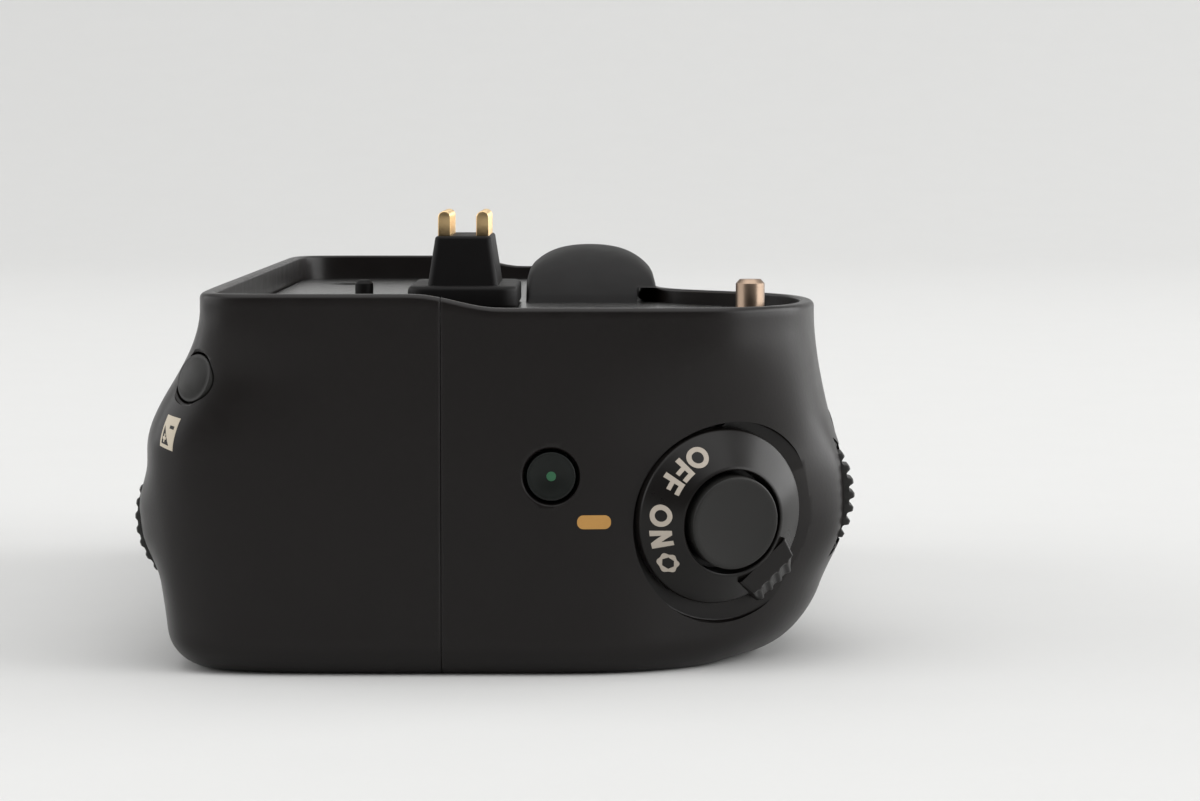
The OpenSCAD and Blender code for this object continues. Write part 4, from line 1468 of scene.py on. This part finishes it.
@dataclass
class CameraSide:
    """Everything on the deck: fixing wheel and screw, connector, pins and screws."""

    deck: float = 35.6
    rim: float = FORM.rim_h
    screw_r: float = 3.175
    pitch: float = 1.27
    thread_deep: float = 0.62
    wheel: ToothedWheel = ToothedWheel(radius=26.8, half=2.2, teeth=72, depth=0.5, bore=2.92, chamfer=0.4)
    tower_x: float = -24.0
    tower_y: float = -1.0
    tower_h: float = 7.9
    tower_low: tuple[float, float] = (9.5, 3.9)
    tower_top: tuple[float, float] = (8.8, 3.1)
    tower_edge: float = 0.4
    blade_r: float = 0.7
    blade_pitch: float = 2.3
    blade_row: float = 2.1
    guide_at: tuple[float, float] = (-55.0, -31.6)
    peg_at: tuple[float, float] = (-30.0, 10.0)
    screw_x: float = 38.0
    screw_y: float = 16.0
    screw_sink: float = 0.12

    def screw(self) -> Shell:
        """Fixing screw with a rolled thread.

        The stem, shoulder and thread have a radius at each height. From there the radius
        falls by the thread depth times a triangle wave of height over pitch less the
        turn; the cut ends below the chamfered tip.

        Returns:
            The screw.
        """
        thread = np.arange(35.8, 39.85, self.pitch / 16)
        z = np.concatenate([[26.3, 26.3, 26.5, 28.1, 28.2, 28.3, 35.6], thread, [40.0, 40.2, 40.4, 40.4]])
        stem, shoulder, tip = 2.0, self.screw_r - 0.3, self.screw_r - 0.6
        levels = [26.3, 28.15, 28.25, 35.65, 35.8, 39.8, 40.4]
        base = np.interp(z, levels, [stem, stem, shoulder, shoulder, self.screw_r, self.screw_r, tip])
        base[[0, -1]] = 0
        angle = np.linspace(0, 2 * np.pi, 72, endpoint=False)
        wave = np.abs(2 * ((z[:, None] / self.pitch - angle / (2 * np.pi)) % 1.0) - 1)
        threaded = ((z > 35.75) & (z < 40.3))[:, None]
        radius = np.maximum(base[:, None] - self.thread_deep * np.clip(1.25 * wave - 0.1, 0, 1) * threaded, 0)
        rows = np.broadcast_to(z[:, None], radius.shape)
        return grid_shell(np.stack([radius * np.cos(angle), radius * np.sin(angle), rows], -1))

    def fixing(self) -> None:
        """Makes the fixing wheel and screw."""
        body = "fixing_wheel"
        rim = moved(self.wheel.shell(), 0, 0, LAYOUT.wheel_z)
        piece("fixing_wheel_rim", [rim], Look.CONTROL, body, ["fixing_wheel"], 35.0)
        piece("fixing_screw_thread", [self.screw()], Look.STEEL, body, ["fixing_screw"], 32.0)

    def connector(self) -> None:
        """Makes the plug tower and its two rows of contact blades."""
        at = (self.tower_x, self.tower_y, self.deck)
        flange = soft_block(12.0, 6.0, corner=2.0, low=0.0, high=2.5, edge=0.5)
        edge, (top_x, top_y) = self.tower_edge, self.tower_top
        (low_x, low_y), shoulder = self.tower_low, self.tower_h - self.tower_edge
        levels = [(lerp(low_x, top_x, t), lerp(low_y, top_y, t), 0.7, lerp(2.3, shoulder, t))
                  for t in np.linspace(0, 1, 6)]
        for a in np.linspace(0, np.pi / 2, 5)[1:]:
            inset = edge * (1 - math.cos(a))
            levels.append((top_x - inset, top_y - inset, 0.6, shoulder + edge * math.sin(a)))
        tower = [moved(flange, *at), moved(block(levels), *at)]
        piece("connector_plug", tower, Look.TOWER, ROOT, ["connector_tower"], 40.0)
        r, half = self.blade_r, np.linspace(0, np.pi, 16)
        tip = np.stack([r * np.cos(half), 2.0 + r * np.sin(half)], -1)
        blade = prism(np.concatenate([tip, [[-r, -0.3], [r, -0.3]]]), low=-0.5, high=0.5, edge=0.12)
        upright = Shell(blade.verts[:, [2, 0, 1]], blade.faces)
        blades = [moved(upright, self.tower_x + self.blade_pitch * k, self.tower_y + self.blade_row * s,
                        self.deck + self.tower_h) for k in range(-3, 4) for s in (-1, 1)]
        piece("connector_blades", blades, Look.GOLD, ROOT, ["connector_contacts"], 35.0)

    def pins(self) -> None:
        """Makes the steel guide pin and the small dark peg."""
        pin = rounded_path([
            (0, -1.8, 0), (1.0, -1.8, 0), (1.0, 0, 0), (2.6, 0, 0.05), (2.6, 0.4, 0.15), (1.5, 0.4, 0.12),
            (1.5, 3.55, 0.05), (1.1, 4.0, 0.12), (0, 4.0, 0)])
        guide = moved(revolve(pin, 96), *self.guide_at, self.deck)
        piece("guide_pin_turned", [guide], Look.PIN, ROOT, ["guide_pin"], 35.0)
        stub = rounded_path([(0, -1.8, 0), (1.0, -1.8, 0), (1.0, 2.6, 0.15), (0.6, 3.0, 0.2), (0, 3.0, 0)])
        peg = moved(revolve(stub, 64), *self.peg_at, self.deck)
        piece("locating_peg_turned", [peg], Look.TOWER, ROOT, ["locating_peg"], 35.0)

    def shoulder(self) -> None:
        """Makes the raised lip at the front of the deck.

        Its height is the smooth lower value of a wide arch along x and a dome along y.
        """
        half, near, far, rise, soft = 17.6, -22.4, -7.6, 7.0, 3.0
        arch_half, dome_r, dome_y, dome_z, on_rim = 18.0, 9.0, -14.8, 33.6, -20.35
        x, y = np.meshgrid(np.linspace(-half, half, 121), np.linspace(near, far, 61), indexing="ij")
        arch_r = (arch_half ** 2 + rise ** 2) / (2 * rise)
        arch = self.deck + rise - arch_r + np.sqrt(arch_r ** 2 - x ** 2)
        dome = dome_z + np.sqrt(dome_r ** 2 - (y - dome_y) ** 2)
        z = 0.5 * (arch + dome - np.sqrt((arch - dome) ** 2 + soft))
        z = z - roll_off(np.minimum(np.minimum(y - near, far - y), half - np.abs(x)), 0.7)
        low = np.where(y < on_rim, self.rim + 0.06, self.deck)
        z = np.maximum(z, low + 0.02)
        lip = slab(np.stack([x, y, z], -1), np.stack([x, y, low], -1))
        piece("lens_shoulder_lip", [lip], Look.TOWER, ROOT, ["lens_shoulder"], 40.0)

    def deck_screws(self) -> None:
        """Makes the four cross-head screws of the deck."""
        spots = [(sx * self.screw_x, sy * self.screw_y, self.deck - self.screw_sink)
                 for sx in (-1, 1) for sy in (-1, 1)]
        heads = [moved(screw_head(radius=2.2, long=6.0), *spot) for spot in spots]
        crossed("deck_screw_set", heads, spots, "deck_screws")

    def build(self) -> None:
        """Makes every piece on the deck."""
        self.fixing()
        self.connector()
        self.pins()
        self.shoulder()
        self.deck_screws()


# Coverings, battery end and underside


@dataclass
class Coverings:
    """Rubber skins on the hand grip and the thumb rest."""

    form: BodyForm = FORM
    thick: float = 0.6
    edge: float = 0.6
    corner_power: float = 14.0
    crowding: float = 1.6

    def skin(self, x_span: tuple[float, float], z_span: tuple[float, float],
             u_span: tuple[float, float]) -> Shell:
        """A pad on the casing with rounded corners and rounded edges.

        A square whose rows crowd towards its border is pulled to a rounded square ring by
        ring, then laid on the casing by x and height; its outer face stands off by the
        thickness and rolls down to the casing within one edge radius of the border.

        Args:
            x_span: Near and far end of the pad.
            z_span: Lower and upper edge.
            u_span: Stretch of the outline that it lies on.

        Returns:
            The pad.
        """
        grid = np.meshgrid(np.linspace(-1, 1, 181), np.linspace(-1, 1, 81), indexing="ij")
        a, b = (np.sign(v) * (1 - (1 - np.abs(v)) ** self.crowding) for v in grid)
        ring = np.maximum(np.abs(a), np.abs(b))
        power = self.corner_power
        pull = ring / np.maximum((np.abs(a) ** power + np.abs(b) ** power) ** (1 / power), 1e-9)
        (x_low, x_high), (z_low, z_high) = x_span, z_span
        half_x, half_z = (x_high - x_low) / 2, (z_high - z_low) / 2
        x, z = (x_low + x_high) / 2 + a * pull * half_x, (z_low + z_high) / 2 + b * pull * half_z
        u = self.form.position_at(x, 0, *u_span, z=15.0)
        roll = 1 - roll_off((1 - ring) * min(half_x, half_z), self.edge) / self.edge
        base, out = self.form.point(u, z), self.form.normal(u, z)
        return slab(base + out * (0.02 + (self.thick - 0.02) * roll)[..., None], base - out * 0.25)

    def build(self) -> None:
        """Makes both skins."""
        for name, pad, node in (
                ("grip_skin", self.skin((-45, 30), (5, 26), (6.2, 12.6)), "front_grip_skin"),
                ("thumb_skin", self.skin((-50, -12), (5, 18.5), (20.3, 23.2)), "thumb_rest_skin")):
            piece(name, [pad], Look.RUBBER, ROOT, [node], 60.0)


@dataclass
class BatteryEnd:
    """Battery tray with its door, latch and six cells."""

    form: BodyForm = FORM
    body: str = "battery_tray"
    door_in: float = 54.6
    half_y: float = 25.4
    low: float = 5.0
    high: float = 27.0
    edge: float = 0.5
    knob_r: float = 7.0
    knob_deep: float = 1.3
    scoop_r: float = 5.8
    shaft_r: float = 2.0
    tongue_x: float = 56.9
    slot_half: tuple[float, float, float] = (0.8, 8.3, 7.9)
    slot_mid: tuple[float, float] = (4.7, 10.9)
    tray_half: float = 23.3
    tray_low: float = 7.1
    tray_side: float = 15.1
    tray_ends: tuple[float, float] = (-50.44, 54.56)
    plate_half: float = 0.6
    cell_z: float = 15.2
    cell_r: float = 7.0
    cell_l: float = 50.5
    cell_end: float = 52.56
    pitch: float = 14.4

    def face(self) -> Placement:
        """Frame of the latch axis on the door's outer face."""
        return along_x(self.form.door_end, 0, self.cell_z)

    def face_x(self, y: np.ndarray, z: float) -> np.ndarray:
        """X of the casing's door end along y at one height."""
        line = self.form.point(np.linspace(13.0, 19.6, 500), z)
        return np.interp(y, line[:, 1], line[:, 0])

    def door(self) -> None:
        """Makes the door: the end of the casing outline with rounded edges.

        It has a well and a bore for the latch, and a slot that the latch tongue swings in.
        """
        near = self.edge * np.array([0, 0.06, 0.2, 0.4, 0.66, 1.0])
        half, low, high = self.half_y, self.low, self.high
        y = np.concatenate([near - half, np.linspace(1 - half, half - 1, 90), (half - near)[::-1]])
        z = np.concatenate([low + near, np.linspace(low + 1, high - 1, 44), (high - near)[::-1]])
        x = np.array([self.face_x(y, float(h)) for h in z])
        y, z = np.meshgrid(y, z)
        border = np.minimum(np.minimum(y + half, half - y), np.minimum(z - low, high - z))
        outer = np.stack([x - roll_off(border, self.edge), y, z], -1)
        inner = np.stack([np.full_like(x, self.door_in), y, z], -1)
        obj = make_object("tray_door_cover", slab(outer, inner))
        mouth, bore, deep = self.knob_r + 0.3, self.shaft_r + 0.25, self.knob_deep
        well = np.array([
            (0, -7.0), (bore, -7.0), (bore, -deep), (mouth, -deep), (mouth, -0.35), (mouth + 0.1, -0.12),
            (mouth + 0.35, 0.02), (mouth + 0.35, 3), (0, 3)])
        combine(obj, self.face().place(revolve(well, 128)), Change.CUT)
        thick, wide, tall = self.slot_half
        slot = soft_block(tall, wide, corner=0.3, low=-thick, high=thick, edge=0.05)
        combine(obj, along_x(self.tongue_x, *self.slot_mid).place(slot), Change.CUT)
        finish_piece(obj, Look.CASING, self.body, ["tray_door"], 34.0)

    def latch(self) -> None:
        """Makes the latch knob: a disc on a shaft, with a finger bar between two scoops."""
        profile = rounded_path([
            (0, -5.0, 0), (self.shaft_r, -5.0, 0.2), (self.shaft_r, -1.0, 0), (self.knob_r, -1.0, 0.1),
            (self.knob_r, 0.0, 0.25), (0, 0.0, 0)])
        obj = make_object("latch_knob", self.face().place(revolve(profile, 128)))
        arc = np.linspace(-0.42 * np.pi, 0.42 * np.pi, 40)
        scoop = self.scoop_r * np.stack([np.cos(arc), np.sin(arc)], -1)
        scoop = scoop[scoop[:, 0] > 1.5]
        scoop = np.concatenate([scoop, [[1.3, scoop[-1, 1] - 0.2], [1.3, scoop[0, 1] + 0.2]]])
        tool = prism(scoop, low=-0.6, high=2.0, edge=0.25)
        combine(obj, self.face().place(join([tool, moved(tool, 0, 0, 0, 180)])), Change.CUT)
        finish_piece(obj, Look.CONTROL, "tray_latch", ["tray_latch"], 34.0)

    def tray(self) -> None:
        """Makes the tray: a cradle for three rows of cells between two end plates.

        The cradle floor is the lowest of three circles about the cell axes, cut off level
        between the rows, carried along x.
        """
        wide, side, inner = self.tray_half, self.tray_side, self.tray_half - 1.4
        bed_half, ridge_top = 21.6, 12.2
        y = np.linspace(-bed_half, bed_half, 145)
        nearest = np.min(np.abs(y[:, None] - np.array([-1, 0, 1]) * self.pitch), axis=1)
        bed_r = self.cell_r + 0.15
        floor = np.minimum(self.cell_z - np.sqrt(np.maximum(bed_r ** 2 - nearest ** 2, 0)), ridge_top)
        profile = np.concatenate([
            [[-wide, self.tray_low], [wide, self.tray_low], [wide, side], [inner, side]],
            np.stack([y, floor], -1)[::-1], [[-inner, side], [-wide, side]]])
        near, far = self.tray_ends
        cradle = prism(profile, near, far, edge=0.15, rows=3)
        upright = Shell(cradle.verts[:, [2, 0, 1]], cradle.faces)
        plate = soft_block(8.9, wide, corner=1.0, low=-self.plate_half, high=self.plate_half, edge=0.15)
        plates = [along_x(x, 0, 16.0).place(plate) for x in (near + self.plate_half, far - self.plate_half)]
        piece("tray_cradle", [upright] + plates, Look.FRAME, self.body, ["battery_tray"], 34.0)

    def cells(self) -> None:
        """Makes six plain cells: a jacket rolled over the ends, and bare steel ends."""
        r, long = self.cell_r, self.cell_l
        jacket = rounded_path([
            (5.9, 0.25, 0), (6.1, 0, 0.1), (r, 0.0, 0.5), (r, long - 1.6, 0.6), (4.6, long - 1.6, 0.1),
            (4.6, long - 1.9, 0)])
        jacket = np.concatenate([jacket, [[4.6, long - 2.1], [5.9, long - 2.3]]])
        ends = rounded_path([
            (0, 0.2, 0), (6.0, 0.2, 0.1), (6.0, long - 1.95, 0.1), (3.1, long - 1.95, 0.2),
            (2.7, long - 1.7, 0.1), (2.7, long - 0.06, 0.3), (0, long - 0.06, 0)])
        places = [along_x(self.cell_end - k * long, y * self.pitch, self.cell_z)
                  for y in (-1, 0, 1) for k in (1, 2)]
        wrap, core = revolve(jacket, 72, loop=True), revolve(ends, 72)
        wraps, cores = [at.place(wrap) for at in places], [at.place(core) for at in places]
        piece("cell_jackets", wraps, Look.CELL, self.body, ["battery_cells"], 34.0)
        piece("cell_ends", cores, Look.STEEL, self.body, crease=34.0)

    def build(self) -> None:
        """Makes every piece of the battery end."""
        self.door()
        self.latch()
        self.tray()
        self.cells()


@dataclass
class Underside:
    """Foot plate, tripod bush and its screws."""

    half_x: float = 25.0
    half_y: float = 15.0
    thick: float = 1.2
    screw_x: float = 20.0
    screw_y: float = 11.0
    screw_sink: float = 0.1
    socket_r: float = 3.175
    bush_r: float = 5.5

    def plate(self) -> None:
        """Makes the foot plate with its holes."""
        plain = soft_block(self.half_x, self.half_y, corner=4.0, low=0.0, high=self.thick, edge=0.2)
        obj = make_object("foot_plate", plain)
        holes = [(self.bush_r + 0.05, 0.0, 0.0)] + [(2.06, x, y) for x, y in self.spots()]
        low, high = -1.0, 2.4
        tools = [moved(revolve(np.array([(0, low), (r, low), (r, high), (0, high)]), 64), x, y, 0)
                 for r, x, y in holes]
        combine(obj, join(tools), Change.CUT)
        finish_piece(obj, Look.PLATE, ROOT, ["base_plate"], 34.0)

    def spots(self) -> list[tuple[float, float]]:
        """Places of the four screws."""
        return [(sx * self.screw_x, sy * self.screw_y) for sx in (-1, 1) for sy in (-1, 1)]

    def screws(self) -> None:
        """Makes the four screws, their heads down."""
        turned_over = Placement(np.zeros(3), np.array([[1.0, 0, 0], [0, -1.0, 0], [0, 0, -1.0]]))
        head = screw_head(radius=2.0, long=5.2)
        heads = [turned_over.place(moved(head, x, -y, -self.screw_sink)) for x, y in self.spots()]
        crossed("case_screw_set", heads, [(x, y, self.screw_sink) for x, y in self.spots()], "case_screws")

    def build(self) -> None:
        """Makes the plate, the screws and the tripod bush with its plain bore."""
        self.plate()
        self.screws()
        bush = rounded_path([
            (0, 5.4, 0), (self.socket_r, 5.4, 0.1), (self.socket_r, 0.35, 0), (3.5, 0.0, 0.1),
            (self.bush_r, 0.0, 0.15), (self.bush_r, 6.0, 0.1), (0, 6.0, 0)])
        piece("tripod_bush_turned", [revolve(bush, 96)], Look.STEEL, ROOT, ["tripod_bush"], 34.0)


# The studio


@dataclass(frozen=True)
class Lamp:
    """A soft rectangular lamp that looks at a point.

    Attributes:
        name: Name of the lamp.
        at: Its place in metres.
        size: Width and height in metres.
        power: Power in watts.
        aim: Point that it looks at.
    """

    name: str
    at: tuple[float, float, float]
    size: tuple[float, float]
    power: float
    aim: tuple[float, float, float] = (0.0, 0.0, 0.02)

    def build(self) -> None:
        """Adds the lamp to the scene."""
        data = bpy.data.lights.new(self.name, "AREA")
        data.shape = "RECTANGLE"
        data.size, data.size_y = self.size
        data.energy = self.power
        lamp = bpy.data.objects.new(self.name, data)
        x, y, z = np.array(self.at) - np.array(self.aim)
        lamp.location = self.at
        lamp.rotation_euler = (math.atan2(math.hypot(x, y), z), 0, math.atan2(y, x) + math.pi / 2)
        bpy.context.scene.collection.objects.link(lamp)


@dataclass
class Studio:
    """Camera, soft lights, pale floor and background, in metres."""

    camera_at: tuple[float, float, float] = (-0.460, -0.016, 0.0542)
    pitch_down: float = 3.85
    lens: float = 117.0
    white: float = 0.86
    ambient: float = 0.34
    behind_camera: float = 0.06
    behind_to: float = -1.0
    ahead_from: float = -0.3
    floor_near: float = -9.0
    floor_far: float = 1.2
    floor_half: float = 9.0
    roll_r: float = 1.6
    wall_low: float = 1.8
    wall_top: float = 4.0
    lamps: tuple[Lamp, ...] = (
        Lamp("key_right", (0.10, -1.7, 0.60), (3.0, 1.2), 34.0),
        Lamp("top_soft", (-0.40, 0.0, 1.1), (1.6, 1.3), 8.0, (0.05, 0.0, 0.0)),
        Lamp("back_wash", (1.3, 0.0, 1.7), (1.4, 2.4), 8.5, (2.3, 0.0, 0.3)),
        Lamp("fill_left", (0.10, 1.7, 0.64), (3.0, 1.2), 17.0),
    )

    def camera(self) -> None:
        """Sets the camera at the photograph's viewing angle."""
        data = bpy.data.cameras.new("camera")
        data.lens, data.sensor_width = self.lens, 36.0
        data.clip_start, data.clip_end = 0.01, 50.0
        cam = bpy.data.objects.new("camera", data)
        cam.location = self.camera_at
        cam.rotation_euler = (math.pi / 2 - math.radians(self.pitch_down), 0, -math.pi / 2)
        bpy.context.scene.collection.objects.link(cam)
        bpy.context.scene.camera = cam

    def floor(self) -> None:
        """Lays the pale floor: a plane that rolls up into a backdrop behind the object."""
        roll = np.linspace(0, np.pi / 2, 40)
        wall = self.floor_far + self.roll_r
        x = np.concatenate([np.linspace(self.floor_near, self.floor_far, 40),
                            self.floor_far + self.roll_r * np.sin(roll[1:]), np.full(8, wall)])
        z = np.concatenate([np.zeros(40), self.roll_r * (1 - np.cos(roll[1:])),
                            np.linspace(self.wall_low, self.wall_top, 8)])
        x, y = np.broadcast_arrays(x[:, None], np.linspace(-self.floor_half, self.floor_half, 30)[None, :])
        pts = np.stack([x, y, np.broadcast_to(z[:, None], x.shape)], -1)
        faces = grid_faces(*x.shape, False, False)[:, ::-1]
        mesh = bpy.data.meshes.new("floor")
        mesh.from_pydata(pts.reshape(-1, 3).tolist(), [], faces.tolist())
        mesh.polygons.foreach_set("use_smooth", np.ones(len(mesh.polygons), bool))
        obj = bpy.data.objects.new("floor", mesh)
        bpy.context.scene.collection.objects.link(obj)
        mesh.materials.append(Look.FLOOR.material())

    def world(self) -> None:
        """Lights the room evenly and shows a pale background to the camera and to gloss.

        Reflections see the background brighten from behind the camera to ahead of it. A
        Mix node takes its factor at input 0 and its two numbers at inputs 2 and 3.
        """
        world = bpy.data.worlds.new("studio")
        bpy.context.scene.world = world
        world.use_nodes = True
        tree = world.node_tree
        back = tree.nodes["Background"]
        back.inputs["Color"].default_value = (1.0, 1.0, 1.0, 1.0)
        rays = tree.nodes.new("ShaderNodeLightPath")
        way = tree.nodes.new("ShaderNodeTexCoord")
        split = tree.nodes.new("ShaderNodeSeparateXYZ")
        tree.links.new(way.outputs["Generated"], split.inputs["Vector"])
        ahead = tree.nodes.new("ShaderNodeMapRange")
        ahead.interpolation_type = "SMOOTHSTEP"
        ahead.inputs["From Min"].default_value = self.behind_to
        ahead.inputs["From Max"].default_value = self.ahead_from
        ahead.inputs["To Min"].default_value = self.behind_camera
        ahead.inputs["To Max"].default_value = self.white
        tree.links.new(split.outputs["X"], ahead.inputs["Value"])
        mirrored = tree.nodes.new("ShaderNodeMath")
        mirrored.operation = "MAXIMUM"
        tree.links.new(rays.outputs["Is Glossy Ray"], mirrored.inputs[0])
        tree.links.new(rays.outputs["Is Transmission Ray"], mirrored.inputs[1])
        room = tree.nodes.new("ShaderNodeMix")
        room.inputs[2].default_value = self.ambient
        tree.links.new(mirrored.outputs["Value"], room.inputs[0])
        tree.links.new(ahead.outputs["Result"], room.inputs[3])
        pale = tree.nodes.new("ShaderNodeMix")
        pale.inputs[3].default_value = self.white
        tree.links.new(rays.outputs["Is Camera Ray"], pale.inputs[0])
        tree.links.new(room.outputs[0], pale.inputs[2])
        tree.links.new(pale.outputs[0], back.inputs["Strength"])

    def build(self) -> None:
        """Sets up camera, floor, world and lamps."""
        self.camera()
        self.floor()
        self.world()
        for lamp in self.lamps:
            lamp.build()
        bpy.context.scene.view_settings.view_transform = "Standard"


def dress_frame() -> None:
    """Gives every solid of the frame that still shows the finish of its slot."""
    for name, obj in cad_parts.items():
        if obj.hide_render:
            continue
        slots = [m.name for m in obj.data.materials if m]
        slot = next((s for s in SLOT_FINISH if slots and slots[0].startswith(s)), "frame")
        for i in range(len(obj.data.materials)):
            obj.data.materials[i] = SLOT_FINISH[slot].material()
        LOG.info("solid %s keeps its form, finish %s", name, slot)


def write_size() -> None:
    """Updates the view layer."""
    bpy.context.view_layer.update()


def main() -> None:
    """Builds the sub-assemblies in order, then the studio."""
    logging.basicConfig(level=logging.INFO, format="%(name)s: %(message)s")
    for assembly in (Casing(), Release(), SmallButtons(), Dials(), CameraSide(), Coverings(), BatteryEnd(),
                     Underside()):
        assembly.build()
    dress_frame()
    Studio().build()
    write_size()


if __name__ == "__main__":
    main()
